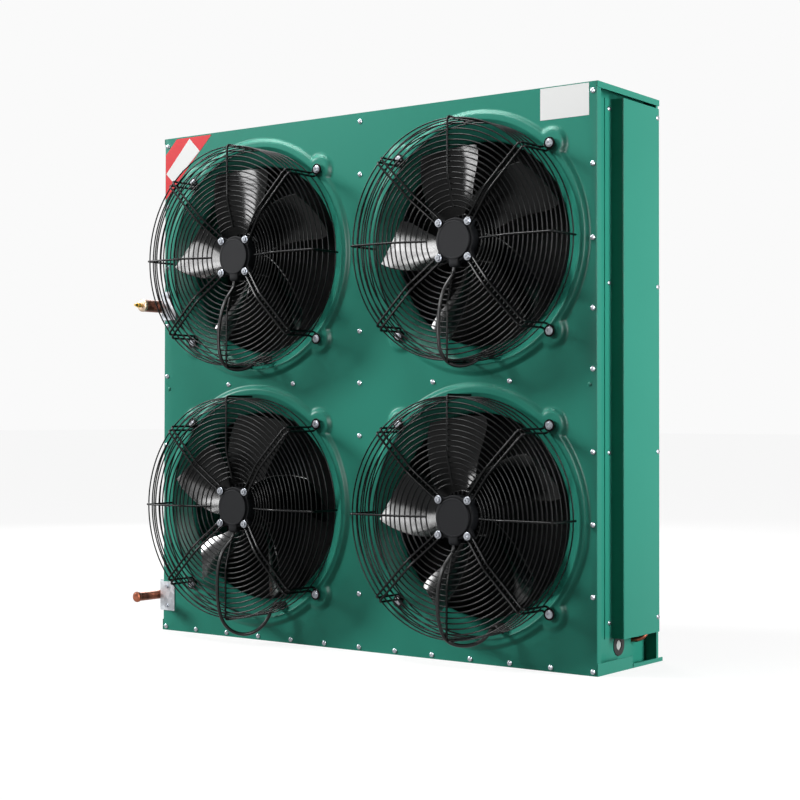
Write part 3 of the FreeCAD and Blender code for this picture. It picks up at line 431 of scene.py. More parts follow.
def bell_profile():
    """Radius and depth from the throat outwards: a bend, a straight cone, a round lip.

    The tangent turns from straight back to the cone's slope, and from that to flat, in even
    steps. A step is as long as the turn times the bend's radius and runs along its mean
    direction. The cone lies between the two bends.
    """
    turn = np.r_[np.linspace(math.pi / 2, CONE_SLOPE, BEND_ROWS),
                 np.linspace(CONE_SLOPE, 0, BEND_ROWS)]
    step = -np.diff(turn, prepend=turn[0]) * np.repeat([THROAT_BEND, LIP_BEND], BEND_ROWS)
    middle = (turn + np.r_[turn[0], turn[:-1]]) / 2
    out, forward = np.cumsum(step * np.cos(middle)), np.cumsum(step * np.sin(middle))
    cone = (BELL_EDGE - THROAT - out[-1]) * (np.arange(2 * BEND_ROWS) >= BEND_ROWS)
    forward = forward + cone * math.tan(CONE_SLOPE)
    return THROAT + out + cone, forward[-1] - forward - BEAD_RISE


def quarter_panel(fan):
    """Rows: the bell, its crest, a slope, then in shares to the border and round its edge."""
    x0, z0 = AXES[fan]
    left, right = ((-HALF_WIDTH - x0, -x0) if x0 < 0 else (-x0, HALF_WIDTH - x0))
    low, high = ((MIDDLE_SEAM - z0, TOP - z0) if z0 > MIDDLE_SEAM else (-z0, MIDDLE_SEAM - z0))
    left, right = left + EDGE_BEND * (x0 < 0), right - EDGE_BEND * (x0 > 0)
    corners = [math.atan2(z, x) % (2 * math.pi) for x in (left, right) for z in (low, high)]
    angle = np.unique(np.round(np.r_[circle_angles(PANEL_COLUMNS), corners], 9))
    cos, sin = np.cos(angle), np.sin(angle)
    to_side = np.where(cos > 0, right, left) / np.where(abs(cos) < 1e-9, 1e-9, cos)
    to_end = np.where(sin > 0, high, low) / np.where(abs(sin) < 1e-9, 1e-9, sin)
    border = np.minimum(abs(to_side), abs(to_end))
    even = np.ones_like(angle)
    rows = [(radius * even, depth * even) for radius, depth in zip(*bell_profile())]
    rings = [radius * even for radius in CREST_RADII]
    rings += [BEAD_FOOT + share * (border - BEAD_FOOT) for share in BORDER_SHARES]
    rows += [(ring, -pressing(ring, angle)) for ring in rings]
    grid = np.stack([np.stack([x0 + r * cos, FACE + y, z0 + r * sin], -1) for r, y in rows])
    on_side = (abs(abs(grid[-1][:, 0]) - (HALF_WIDTH - EDGE_BEND)) < 1e-6)[:, None]
    turn = np.radians((30, 60, 90, 90))
    out, back = EDGE_BEND * np.sin(turn), EDGE_BEND * (1 - np.cos(turn))
    back[-1] = EDGE_RETURN
    shift = np.stack([np.sign(x0) * out, back, 0 * out], -1)[:, None, :]
    return np.concatenate([grid, grid[-1] + on_side * shift])[::-1]


def thicken(made, thickness, sharp=35):
    """Gives a sheet its thickness behind its faces, with crisp cut edges."""
    wall = made.modifiers.new("sheet thickness", "SOLIDIFY")
    wall.thickness = thickness
    wall.offset = -1
    thin = made.data
    seen = made.evaluated_get(bpy.context.evaluated_depsgraph_get())
    made.data = bpy.data.meshes.new_from_object(seen)
    made.modifiers.clear()
    bpy.data.meshes.remove(thin)
    made.data.name = made.name
    made.data.set_sharp_from_angle(angle=math.radians(sharp))
    return made


panel = piece("pressed_front_panel", [(quarter_panel(fan), False, True) for fan in FANS], GREEN,
              outward=False, sharp=50)
thicken(panel, SHEET)
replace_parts(panel, "fan_panel")
print("front panel faces:", len(panel.data.polygons))

# %% [markdown]
# ## Wire guards
# A guard is welded from round wire: rings of thin wire lie behind thicker spokes, and four pairs
# of arms run from the motor's bolts to ears on the panel and carry the motor. Round wire is a
# circle carried along a path. Every path here is flat, so the circle needs no twist: it spans
# the path's own normal and one fixed direction.

# %% Guard shapes
RING_WIRE, ARM_WIRE = 3.0 * MM, 4.5 * MM
HUB_FLAT, KNEE, GUARD_EDGE, RIM = 58 * MM, 127 * MM, 241 * MM, 237 * MM
HUB_DEPTH, GUARD_DEPTH, EAR_DEPTH, LEG_DEPTH = 73.25 * MM, 95 * MM, 8.25 * MM, 12.25 * MM
MOTOR_CIRCLE = 49 * MM
PAIR_HALF = 6 * MM
FACE_RINGS = np.linspace(66 * MM, RIM, 17)
RIM_DEPTHS = np.array([75, 57, 38, 14]) * MM
SPOKE_ANGLES = np.radians((0, 90, 180, 270))
RING_COLUMNS, RING_SIDES, ARM_SIDES, LOOP_STEPS = 96, 8, 12, 13


def guard_depth(radius):
    """Depth of the arms: level at the hub, then a slope out to the knee, then level again."""
    return np.interp(radius, (HUB_FLAT, KNEE), (HUB_DEPTH, GUARD_DEPTH))


def bent(corners, bends, steps=6):
    """A bent wire's line: each inner corner is cut at its bend length and made a parabola."""
    corners = np.asarray(corners, float)
    share = np.linspace(0, 1, steps)[:, None]
    line = [corners[:1]]
    for before, corner, after, bend in zip(corners, corners[1:], corners[2:], bends):
        start = corner + (before - corner) / np.linalg.norm(before - corner) * bend
        end = corner + (after - corner) / np.linalg.norm(after - corner) * bend
        line.append((1 - share) ** 2 * start + 2 * share * (1 - share) * corner
                    + share ** 2 * end)
    return np.concatenate(line + [corners[-1:]])


def on_guard(fan, line, angle, offset=0.0):
    """Places a (radius, depth) line on a fan at an angle, moved sideways by an offset."""
    x0, z0 = AXES[fan]
    out, aside = (math.cos(angle), math.sin(angle)), (-math.sin(angle), math.cos(angle))
    return np.stack([x0 + line[:, 0] * out[0] + offset * aside[0], FACE - line[:, 1],
                     z0 + line[:, 0] * out[1] + offset * aside[1]], -1)


def wire_ring(fan, radius, depth):
    """A closed ring: a circle of wire carried round the fan's axis."""
    line = around([(radius, -depth)], RING_COLUMNS, AXES[fan])[0]
    return tube(line, (0, 1, 0), RING_WIRE / 2, RING_SIDES, closed=True), True, True


def guard_ring_grids(fan):
    """Face rings just behind the arms, and rim rings inside the arms' legs."""
    rest = (ARM_WIRE + RING_WIRE) / 2
    face = [wire_ring(fan, r, guard_depth(r) - rest) for r in FACE_RINGS]
    return face + [wire_ring(fan, RIM, depth) for depth in RIM_DEPTHS]


def arm_grids(fan, angle):
    """A pair of wires with a half loop round the motor's bolt and one round the ear's bolt."""
    line = bent([(MOTOR_CIRCLE, HUB_DEPTH), (HUB_FLAT, HUB_DEPTH), (KNEE, GUARD_DEPTH),
                 (GUARD_EDGE, GUARD_DEPTH), (GUARD_EDGE, EAR_DEPTH), (EAR_CIRCLE, EAR_DEPTH)],
                np.array([5, 14, 10, 8]) * MM)
    aside = (-math.sin(angle), 0, math.cos(angle))
    wires = [on_guard(fan, line, angle, side) for side in (-PAIR_HALF, PAIR_HALF)]
    grids = [(tube(wire, aside, ARM_WIRE / 2, ARM_SIDES), False, True) for wire in wires]
    for centre, depth, first in ((MOTOR_CIRCLE, HUB_DEPTH, 90), (EAR_CIRCLE, EAR_DEPTH, -90)):
        turn = np.radians(np.linspace(first, first + 180, LOOP_STEPS)) + angle
        x = AXES[fan][0] + centre * math.cos(angle) + PAIR_HALF * np.cos(turn)
        z = AXES[fan][1] + centre * math.sin(angle) + PAIR_HALF * np.sin(turn)
        loop = np.stack([x, np.full_like(x, FACE - depth), z], -1)
        grids.append((tube(loop, (0, 1, 0), ARM_WIRE / 2, ARM_SIDES), False, True))
    return grids


def spoke_grid(fan, angle):
    """A single wire: out along the face, round the rim and back towards the panel."""
    start = FACE_RINGS[0] - 3 * MM
    line = bent([(start, guard_depth(start)), (KNEE, GUARD_DEPTH), (GUARD_EDGE, GUARD_DEPTH),
                 (GUARD_EDGE, LEG_DEPTH)], np.array([14, 8]) * MM)
    aside = (-math.sin(angle), 0, math.cos(angle))
    path = on_guard(fan, line, angle)
    wire = tube(path, aside, ARM_WIRE / 2, ARM_SIDES)
    ends = path[[0, -1]][:, None, :] + 0 * wire[:1]
    return np.concatenate([ends[:1], wire, ends[1:]]), False, True


def guard(fan):
    """All of one fan's guard wires in one piece, in place of the solid guard."""
    grids = guard_ring_grids(fan)
    for angle in EAR_ANGLES:
        grids += arm_grids(fan, angle)
    grids += [spoke_grid(fan, angle) for angle in SPOKE_ANGLES]
    made = piece(f"guard_wires_{fan}", grids, WIRE_BLACK, sharp=60)
    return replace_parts(made, f"guard_{fan}", f"guard_rim_{fan}")


guards = [guard(fan) for fan in FANS]
print("rings on a guard:", len(FACE_RINGS) + len(RIM_DEPTHS),
      "faces:", len(guards[0].data.polygons))

# %% [markdown]
# ## Fan blades
# The blades are stamped from sheet and dished: each is wider and flatter towards its tip and
# swept like a sickle, so that it cuts the air gradually and runs quietly. A blade is one surface
# of two parameters: the share of the way from hub to tip, and the share of the chord.

# %% Blades
HUB_RING, BLADE_TIP = 53 * MM, 199.5 * MM
BLADE_SHEET = 1.5 * MM
BLADE_COUNT, BLADE_STEPS, HUB_COLUMNS = 5, 25, 72
CHORDS, PITCHES, SWEEP = (80 * MM, 134 * MM), (42, 33), 24
BLADE_MIDDLE, BLADE_DISH = 18 * MM, 9 * MM
TIP_ROUNDING, ROOT_ROUNDING = 0.16, 0.10
RING_BORE, RING_FRONT, RING_REAR, RING_CHAMFER = 51.1 * MM, -44.5 * MM, 16.5 * MM, 0.5 * MM
REST_ANGLES = {"upper_left": 170, "upper_right": 105, "lower_left": 150, "lower_right": 170}


def blade_grid(fan, number):
    """Radius grows with the span; angle and depth follow the pitched, dished and swept chord."""
    span = np.linspace(0, 1, BLADE_STEPS)[:, None]
    chord_share = np.linspace(-0.5, 0.5, BLADE_STEPS)[None, :]
    radius = HUB_RING - 1 * MM + span * (BLADE_TIP - HUB_RING + 1 * MM)
    rounding = 1 - TIP_ROUNDING * span ** 8 - ROOT_ROUNDING * (1 - span) ** 6
    along = chord_share * rounding * (CHORDS[0] + span * (CHORDS[1] - CHORDS[0]))
    pitch = np.radians(PITCHES[0] + span * (PITCHES[1] - PITCHES[0]))
    turn = (along * np.cos(pitch) / radius + np.radians(SWEEP) * (1 - span) ** 1.4
            + math.radians(REST_ANGLES[fan] + 360 / BLADE_COUNT * number))
    depth = BLADE_DISH * (1 - 4 * chord_share ** 2) - BLADE_MIDDLE - along * np.sin(pitch)
    x = AXES[fan][0] + radius * np.cos(turn)
    z = AXES[fan][1] + radius * np.sin(turn)
    return np.stack([x, FACE + depth, z], -1)


def blades(fan):
    """Five blades as one sheet-thick piece, and the ring that carries them on the rotor."""
    grids = [(blade_grid(fan, number), False, False) for number in range(BLADE_COUNT)]
    made = piece(f"swept_blades_{fan}", grids, BLADE_BLACK, f"fan_{fan}", outward=False)
    thicken(made, BLADE_SHEET)
    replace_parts(made, f"impeller_{fan}")
    ring = [(RING_BORE, RING_FRONT), (HUB_RING - RING_CHAMFER, RING_FRONT),
            (HUB_RING, RING_FRONT + RING_CHAMFER), (HUB_RING, RING_REAR), (RING_BORE, RING_REAR)]
    grid = around(ring, HUB_COLUMNS, AXES[fan])
    hub = piece(f"blade_ring_{fan}", [(grid, True, True)], BLADE_BLACK, f"fan_{fan}")


for fan in FANS:
    blades(fan)
print("blades:", BLADE_COUNT, "to a fan, tip radius", BLADE_TIP)

# %% [markdown]
# ## The motor leads
# Each motor has a lead that leaves a neck at the foot of the cover, hangs in front of the guard
# and runs under its rim into a bush in the panel. It is one smooth curve: a NURBS spline whose
# control points are the points of the solid lead's route.

# %% Leads
LEAD_DIAMETER = 7.5 * MM
BUSH_RADIUS = 225 * MM
LEAD_ROUTES = {
    "upper_left": (-83, 0.313, [
        (0, -71, -54), (1, -71, -65), (2, -83, -77), (0, -96, -94), (-7, -103, -122),
        (-14, -104, -157), (-15, -104, -190), (-12, -102, -220), (-8, -90, -240),
        (4, -70, -248), (17, -50, -244), (25, -36, -235)]),
    "upper_right": (-81, 0.319, [
        (0, -71, -54), (0, -71, -66), (-2, -84, -79), (-6, -97, -97), (-11, -103, -126),
        (-15, -104, -160), (-15, -104, -192), (-12, -102, -220), (-4, -90, -241),
        (8, -71, -249), (22, -51, -245), (31, -37, -237)]),
    "lower_left": (-71, 0.364, [
        (0, -71, -54), (0, -71, -66), (-4, -84, -79), (-9, -97, -96), (-14, -103, -124),
        (-16, -104, -160), (-15, -104, -196), (-11, -101, -230), (-5, -89, -256),
        (7, -72, -271), (25, -56, -275), (44, -44, -267), (60, -36, -251), (70, -31, -232)]),
    "lower_right": (-75, 0.334, [
        (0, -71, -54), (0, -71, -66), (-3, -84, -79), (-7, -97, -96), (-12, -103, -124),
        (-16, -104, -156), (-15, -104, -188), (-11, -101, -216), (-3, -91, -240),
        (12, -74, -249), (30, -57, -249), (46, -42, -241), (57, -33, -227)]),
}


def lead_points(fan):
    """The route in the frame's metres: the listed points, then straight into the bush."""
    angle, _, route = LEAD_ROUTES[fan]
    turn, reach = math.radians(angle), BUSH_RADIUS / MM
    ends = [(reach * math.cos(turn), depth, reach * math.sin(turn)) for depth in (-27, -15)]
    centre = np.array([AXES[fan][0], FACE, AXES[fan][1]])
    return centre + np.array(route + ends) * MM


def lay_lead(fan):
    """One open NURBS spline of order 3 with a round bevel."""
    points = lead_points(fan)
    curve = bpy.data.curves.new(f"motor_lead_{fan}", "CURVE")
    curve.dimensions = "3D"
    spline = curve.splines.new("NURBS")
    spline.points.add(len(points) - 1)
    spline.points.foreach_set("co", np.c_[points, np.ones(len(points))].ravel())
    spline.order_u = 3
    spline.use_endpoint_u = True
    spline.resolution_u = 8
    curve.bevel_depth = LEAD_DIAMETER / 2
    curve.bevel_resolution = 4
    curve.use_fill_caps = True
    curve.materials.append(SHEATH)
    lead = new_object(f"motor_lead_{fan}", curve)
    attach(lead, "cabinet")
    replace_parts(lead, f"lead_{fan}")
    return lead


leads = [lay_lead(fan) for fan in FANS]
print("laid", len(leads), "leads")

# %% [markdown]
# ## Motor covers
# Each fan has an external rotor motor. Its still half is a die-cast cover with four lugs for the
# guard's bolts and a raised round plate. A casting has rounded edges, so the cover is a stack of
# outlines round the axis, and the lugs grow out of the round with a fillet, not a crease.

# %% Motor covers
CAP, LUG, NECK_DEPTH = 44 * MM, 9.5 * MM, 67 * MM
COVER_COLUMNS, NECK_COLUMNS = 180, 32


def cover_outline():
    """The larger of the cap's circle and the lugs' circles, averaged over a few degrees."""
    angle = circle_angles(COVER_COLUMNS)
    outline = np.full_like(angle, CAP)
    for lug in EAR_ANGLES:
        ahead, aside = MOTOR_CIRCLE * np.cos(angle - lug), MOTOR_CIRCLE * np.sin(angle - lug)
        reach = ahead + np.sqrt(np.clip(LUG ** 2 - aside ** 2, 0, None))
        outline = np.where((abs(aside) < LUG) & (ahead > 0), np.maximum(outline, reach), outline)
    share = np.hanning(9)[1:-1] / np.hanning(9).sum()
    return np.convolve(np.r_[outline[-3:], outline, outline[:3]], share, "valid")


def cover_rows():
    """From the middle of the back, round the core and the cap, over the lugs to the plate."""
    lobed = cover_outline()
    mm = [(0, -51), (16.1, -51), (16.1, 0), (41.5, 0), (41.5, -51), (43.4, -51), (44, -50.4)]
    rows = [(r * MM, y * MM) for r, y in mm]
    rows += [(np.minimum(lobed, CAP), -61 * MM), (lobed, -61 * MM), (lobed, -69.8 * MM),
             (lobed - 0.4 * MM, -70.7 * MM), (lobed - 1.4 * MM, -71 * MM)]
    front = [(41.2, -71), (40.4, -70), (39.2, -70), (38.5, -71), (38.5, -75.2), (38.2, -75.8),
             (37.4, -76), (35.2, -76), (34.8, -75.6), (0, -75.6)]
    return rows + [(r * MM, y * MM) for r, y in front]


def neck_grid(fan):
    """The cable neck: a rounded rectangle x = a sgn(c) |c|^(1/2), y alike, carried downwards."""
    stations = np.array([(-33, 12, 8.4), (-46, 12, 8.4), (-50, 11.4, 8.0), (-52.8, 9.6, 6.8),
                         (-54, 6.8, 5.0), (-54, 0, 0)]) * MM
    turn = circle_angles(NECK_COLUMNS)[None, :]
    across = np.sign(np.cos(turn)) * abs(np.cos(turn)) ** 0.5
    deep = np.sign(np.sin(turn)) * abs(np.sin(turn)) ** 0.5
    down, width, depth = (stations[:, n][:, None] for n in range(3))
    grid = [AXES[fan][0] + width * across, FACE - NECK_DEPTH + depth * deep,
            AXES[fan][1] + down + 0 * turn]
    return np.stack(grid, -1)


for fan in FANS:
    grids = [(around(cover_rows(), COVER_COLUMNS, AXES[fan]), False, True),
             (neck_grid(fan), False, True)]
    cover = piece(f"motor_cover_{fan}", grids, CAST_BLACK, sharp=40)
    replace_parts(cover, f"motor_{fan}")
print("cover width over the lugs:", round(2 * cover_outline().max() / MM, 1), "mm")

# %% [markdown]
# ## Rotor bells
# The bell that turns round the motor's core is cast too. Its front edge has a crown of short
# teeth, which stir the air over the motor. The teeth are one ring whose depth steps up and down
# with the angle.

# %% Rotor bells
TEETH, COLUMNS_PER_TOOTH = 30, 6
BELL_FRONT, TOOTH_HEIGHT = -46 * MM, 6 * MM


def bell_rows():
    """A cup: inner wall, toothed front edge, outer wall and floor, with small chamfers."""
    column = np.arange(TEETH * COLUMNS_PER_TOOTH) % COLUMNS_PER_TOOTH
    edge = BELL_FRONT + TOOTH_HEIGHT * (column >= COLUMNS_PER_TOOTH / 2)
    mm = [(51, 17.2), (50.2, 18), (7.6, 18), (7.6, 9), (42, 9)]
    return [(42 * MM, edge), (50.3 * MM, edge), (51 * MM, edge + 0.7 * MM),
            (51 * MM, -38 * MM)] + [(r * MM, y * MM) for r, y in mm]


for fan in FANS:
    grid = around(bell_rows(), TEETH * COLUMNS_PER_TOOTH, AXES[fan])
    bell = piece(f"rotor_bell_{fan}", [(grid, True, True)], CAST_BLACK, f"fan_{fan}", sharp=30)
    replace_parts(bell, f"rotor_{fan}")
print("teeth on a bell:", TEETH)

# %% [markdown]
# ## Screw heads
# Every screw is the same idea: a washer or flange, a head on it and a driver's recess. A head is a
# profile of radius and height carried round the screw's axis. A hexagon's radius follows the
# angle, and a cross recess has a radius that swells four times in a turn.

# %% Screw heads
HEAD_COLUMNS = 24
EAR_SEAT, LUG_SEAT = 10.5 * MM, 75.5 * MM
FRONT, RIGHT, LEFT = (0, -1, 0), (1, 0, 0), (-1, 0, 0)


def hexagon(corner):
    """Radius of a hexagon by angle: r cos 30 / cos(angle from the middle of the flat)."""
    off = (circle_angles(HEAD_COLUMNS) + math.pi / 6) % (math.pi / 3) - math.pi / 6
    return corner * math.cos(math.pi / 6) / np.cos(off)


def cross(reach):
    """Radius of a cross recess by angle: full at each quarter turn, a third between."""
    return reach * (0.34 + 0.66 * np.cos(2 * circle_angles(HEAD_COLUMNS)) ** 8)


def head_grid(rows, place, facing):
    """Rings round a screw's axis: place + r cos a across + r sin a up + height along facing."""
    facing, up = np.asarray(facing, float), np.array([0.0, 0.0, 1.0])
    across = np.cross(up, facing)
    angle = circle_angles(HEAD_COLUMNS)
    radius = np.stack([np.broadcast_to(row[0], angle.shape) for row in rows])[..., None] * MM
    height = np.array([row[1] for row in rows])[:, None, None] * MM
    ring = radius * (np.cos(angle)[None, :, None] * across + np.sin(angle)[None, :, None] * up)
    return np.asarray(place, float) + ring + height * facing, False, True


def screws(name, rows, places, facing, finish=ZINC):
    """One piece with a head, or a washer, at each place."""
    made = piece(name, [head_grid(rows, place, facing) for place in places], finish, sharp=30)
    return made


FLANGED = [(0, 0), (8, 0), (8, 0.8), (7.5, 1.3), (hexagon(6.4), 1.3), (hexagon(6.4), 4.0),
           (5.2, 4.9), (4.0, 5.0), (cross(3.4), 5.0), (cross(2.6), 2.6), (0, 2.2)]
WASHER = [(0, 0), (12, 0), (12, 0.9), (11.5, 1.4), (0, 1.4)]
EAR_HEAD = [(0, 1.4), (8.2, 1.4), (8.2, 1.9), (7.7, 2.4), (hexagon(6.9), 2.4),
            (hexagon(6.9), 4.4), (5.6, 5.0), (cross(3.8), 5.0), (cross(3.0), 2.9), (0, 2.7)]
PAN = [(0, 0), (5.0, 0), (5.0, 0.7), (4.4, 1.0), (4.3, 1.5), (3.7, 2.5), (2.7, 2.9),
       (cross(2.3), 2.95), (cross(1.6), 1.6), (0, 1.2)]
RIVET = [(0, 0), (4.5, 0), (4.1, 0.9), (2.9, 1.6), (0, 2.0)]


def bolt_places(circle, seat):
    """Four places round each fan: circle cos a, circle sin a, and the seat before the face."""
    return [(AXES[fan][0] + circle * math.cos(a), FACE - seat,
             AXES[fan][1] + circle * math.sin(a)) for fan in FANS for a in EAR_ANGLES]


ear_places, lug_places = bolt_places(EAR_CIRCLE, EAR_SEAT), bolt_places(MOTOR_CIRCLE, LUG_SEAT)
ear_heads = screws("guard_bolt_heads", EAR_HEAD, ear_places, FRONT)
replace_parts(ear_heads, "guard_bolts")
screws("guard_bolt_washers", WASHER, ear_places, FRONT, WIRE_BLACK)
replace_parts(screws("motor_bolt_heads", FLANGED, lug_places, FRONT), "motor_bolts")
print("bolt heads:", len(ear_places) + len(lug_places))

# %% [markdown]
# ## Panel screws
# Pan-head screws hold the front sheet along its edges and along the divider and the shelves
# behind it, and the end covers along their strips. Each row is a short list of places in
# millimetres. Two painted rivets sit at the middle of the sheet's sides.

# %% Panel screws
SIDE_HEIGHTS = (8, 149, 286, 424, 582, 698, 832, 973, 1112)
MIDDLE_HEIGHTS = (119, 450, 561, 670, 1000, 1112)
SHELF_PLACES = (-371, -183, 189, 374)
COVER_HEIGHTS = (90, 421, 752, 1093)
EDGE_ROW, FOOT_ROW, SHELF_ROW, FOOT_COUNT = 562, 8, 561, 11
RIVET_PLACES, RIVET_ROW = (-555, 555), 553
STRIP, STRIP_ROW, COVER_ROW = 544.5 * MM, 93 * MM, 240 * MM
OUTER_SIDE, LEFT_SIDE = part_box("cover_right")[1].x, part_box("cover_left")[0].x

on_front = [(side * EDGE_ROW, z) for side in (-1, 1) for z in SIDE_HEIGHTS]
on_front += [(0, z) for z in MIDDLE_HEIGHTS] + [(x, SHELF_ROW) for x in SHELF_PLACES]
on_front += [(x, FOOT_ROW) for x in np.linspace(-EDGE_ROW, EDGE_ROW, FOOT_COUNT + 2)[1:-1]]
screws("front_screws", PAN, [(x * MM, FACE, z * MM) for x, z in on_front], FRONT)
on_strip, on_right, on_left = ([(x, FACE + row, z * MM) for z in COVER_HEIGHTS]
                               for x, row in ((STRIP, STRIP_ROW), (OUTER_SIDE, COVER_ROW),
                                              (LEFT_SIDE, COVER_ROW)))
screws("right_cover_screws", PAN, on_strip + on_right, RIGHT)
screws("left_cover_screws", PAN, on_left, LEFT)
rivets = piece("painted_rivets", [head_grid(RIVET, (x * MM, FACE, RIVET_ROW * MM), FRONT)
                                  for x in RIVET_PLACES], GREEN, sharp=50)
print("panel screws:", len(on_front + on_strip + on_right + on_left))

# %% [markdown]
# ## Plates on the front
# A pale plate sits at the top right and a red film with a white field at the top left. Both are
# thin sheets on the paint, flat between four corners, so a grid between the corners is enough.

# %% Plates on the front
FILM_THICKNESS, ON_PAINT, ON_FILM = 0.25 * MM, 0.4 * MM, 0.7 * MM
FILM_STEPS = 9


def film(name, finish, depth, corners):
    """A thin sheet between four corners (x, z): p = sum of corner x share along x share up."""
    corners = np.array(corners, float) * MM
    share = np.linspace(0, 1, FILM_STEPS)
    along, up = np.meshgrid(share, share)
    weights = (1 - along) * (1 - up), along * (1 - up), along * up, (1 - along) * up
    place = sum(w[..., None] * corner for w, corner in zip(weights, corners))
    grid = np.stack([place[..., 0], np.full_like(along, FACE - depth), place[..., 1]], -1)
    return thicken(piece(name, [(grid, False, False)], finish, outward=False), FILM_THICKNESS)


film("rating_plate", FILM_WHITE, ON_PAINT, [(445, 1066), (554, 1066), (554, 1128), (445, 1128)])
film("corner_film", FILM_RED, ON_PAINT,
     [(-569.4, 989), (-426, 1127), (-534, 1127), (-569.4, 1092)])
film("corner_field", FILM_WHITE, ON_FILM,
     [(-543, 1026), (-462, 1093), (-494, 1124), (-567, 1049)])
print("film thickness", FILM_THICKNESS, "m")

# %% [markdown]
# ## Fins
# The coil is a block of thin metal leaves on copper tubes, one every 2.5 millimetres, so from the
# front it is a deep, dark grating. Each leaf is a thin box. All leaves share the same eight
# corners, moved along the cabinet.

# %% Fins
FIN_PITCH, FIN_THICKNESS = 2.5 * MM, 0.2 * MM


def fin_stack():
    """Corners = leaf centre along X + half thickness, and the block's ends in Y and Z."""
    low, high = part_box("fin_pack")
    middle_low, middle_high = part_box("tube_sheet_middle")
    x = np.arange(low.x + FIN_PITCH / 2, high.x, FIN_PITCH)
    x = x[(x < middle_low.x - FIN_THICKNESS) | (x > middle_high.x + FIN_THICKNESS)]
    section = np.array([(low.y, low.z), (high.y, low.z), (high.y, high.z), (low.y, high.z)])
    grid = np.zeros((len(x), 4, 4, 3))
    grid[..., 0] = x[:, None, None] + np.array([-1, -1, 1, 1])[:, None] * FIN_THICKNESS / 2
    grid[..., 1:] = section
    inner = section.mean(0)
    grid[:, 0, :, 1:] = grid[:, 3, :, 1:] = inner
    return [(leaf, False, True) for leaf in grid]


leaves = fin_stack()
# the leaves take the near-black colour that paints the shade inside the coil
fins = piece("fin_stack", leaves, FIN_SHADE_BLACK, sharp=30)
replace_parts(fins, "fin_pack")
print("fins:", len(leaves))

# %% [markdown]
# ## Copper ends
# At the right the coil's tubes turn back in short bends, which show below the cover. At the left
# the two pipes end in closed caps: the thick one is a spun cup, the thin one is pinched and
# bulges. Caps are profiles round the pipe's axis, and each bend is a tube along a half circle.
# The rubber skin in the cable's hole is a profile too.

# %% Copper ends
TUBE, BEND_START = 9.6 * MM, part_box("coil_tubes")[1].x
FRONT_ROW, REAR_ROW = np.array([(64, 0), (94, 22)]) * MM
BEND_HEIGHTS = (48 + 140 * np.arange(8)) * MM
BEND_STEPS, BEND_SIDES, CAP_COLUMNS = 21, 16, 40


def bend_grid(height):
    """A half circle between the rows: centre + r (sin a outwards - cos a along the lean)."""
    lean = (REAR_ROW - FRONT_ROW) / 2
    radius = np.linalg.norm(lean)
    lean = np.array([0, *(lean / radius)])
    middle = np.array([BEND_START, *((FRONT_ROW + REAR_ROW) / 2 + (0, height))])
    turn = np.linspace(0, math.pi, BEND_STEPS)[:, None]
    outward = np.array([1.0, 0, 0])
    arc = middle + radius * (np.sin(turn) * outward - np.cos(turn) * lean)
    ends = arc[[0, -1]] - 3 * MM * outward
    path = np.concatenate([ends[:1], arc, ends[1:]])
    return tube(path, np.cross(outward, lean), TUBE / 2, BEND_SIDES), False, True


bends = piece("return_bends_smooth", [bend_grid(z) for z in BEND_HEIGHTS], COPPER, sharp=60)
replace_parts(bends, "return_bends")

GAS_CAP = [(0, -44), (14.5, -44), (14.5, -47.6), (13.9, -49.4), (12.0, -50.6), (8.0, -51),
           (0, -51)]
LIQUID_CAP = [(0, -56), (10, -56), (11.4, -56.6), (12, -58.4), (12, -61), (11.2, -63.3),
              (8.6, -64.7), (4.5, -64.9), (0, -64.4)]


def cap(name, node, rows, finish):
    """A closed cap in place of a solid one, on the same axis."""
    low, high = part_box(node)
    centre = ((low.x + high.x) / 2, (low.z + high.z) / 2)
    rows = [(r * MM, y * MM) for r, y in rows]
    grid = around(rows, CAP_COLUMNS, centre)
    made = piece(name, [(grid, False, True)], finish, sharp=50)
    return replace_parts(made, node)


cap("gas_cap_spun", "gas_pipe_cap", GAS_CAP, CAP_PLATE)
cap("liquid_cap_bulged", "liquid_pipe_cap", LIQUID_CAP, COPPER)

MEMBRANE_ROWS = [(0, -0.6), (9.9, -0.6), (9.9, 0.4), (9.0, 0.9), (3.0, 0.9), (2.4, 1.4), (0, 1.5)]
outlet = [(low + high) / 2 for low, high in zip(*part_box("cable_grommet"))]
membrane = piece("cable_membrane", [head_grid(MEMBRANE_ROWS, outlet, RIGHT)], MEMBRANE)
print("bends:", len(BEND_HEIGHTS))

# %% [markdown]
# ## Bent sheet
# The right end cover is folded from one sheet: a strip that is screwed to the side plate, a front
# wall and a wide outer face. A folded edge is round, and the light it catches tells the eye that
# this is sheet. So the cover is a line of corners with rounded bends, carried up the cabinet.

# %% Right cover
FOLD = 3 * MM


def folded_sheet(name, node, corners):
    """A line of (x, y) corners with rounded bends, carried from the solid's foot to its top."""
    low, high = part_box(node)
    flat = np.array([(x, y, 0.0) for x, y in corners]) * MM
    line = bent(flat, [FOLD] * (len(corners) - 2), 7)
    grid = np.stack([line + (0, 0, low.z), line + (0, 0, high.z)])
    made = thicken(piece(name, [(grid, False, False)], GREEN, outward=False), SHEET, 50)
    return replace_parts(made, node)


folded_sheet("folded_cover_right", "cover_right",
             [(544.5, -47), (544.5, -23), (573, -23), (573, 122.5)])
print("right cover folded, bend", FOLD)

# %% [markdown]
# ## Floor, backdrop and light
# The object stands on a plain pale floor that runs into a pale background. Only the camera and
# mirror-like reflections see them bright: the floor's own colour is a middle grey, so that it
# throws little light up into the bells. Large soft lamps stand over the front, at the right side
# and behind, so that the object looks right from all round. A far lamp grazes the front from the
# left and brings out the pressings: a sun with a wide angle stands in for it. Two cards light
# nothing but show in the gloss of blades and wire, as white cards do in a product photograph.

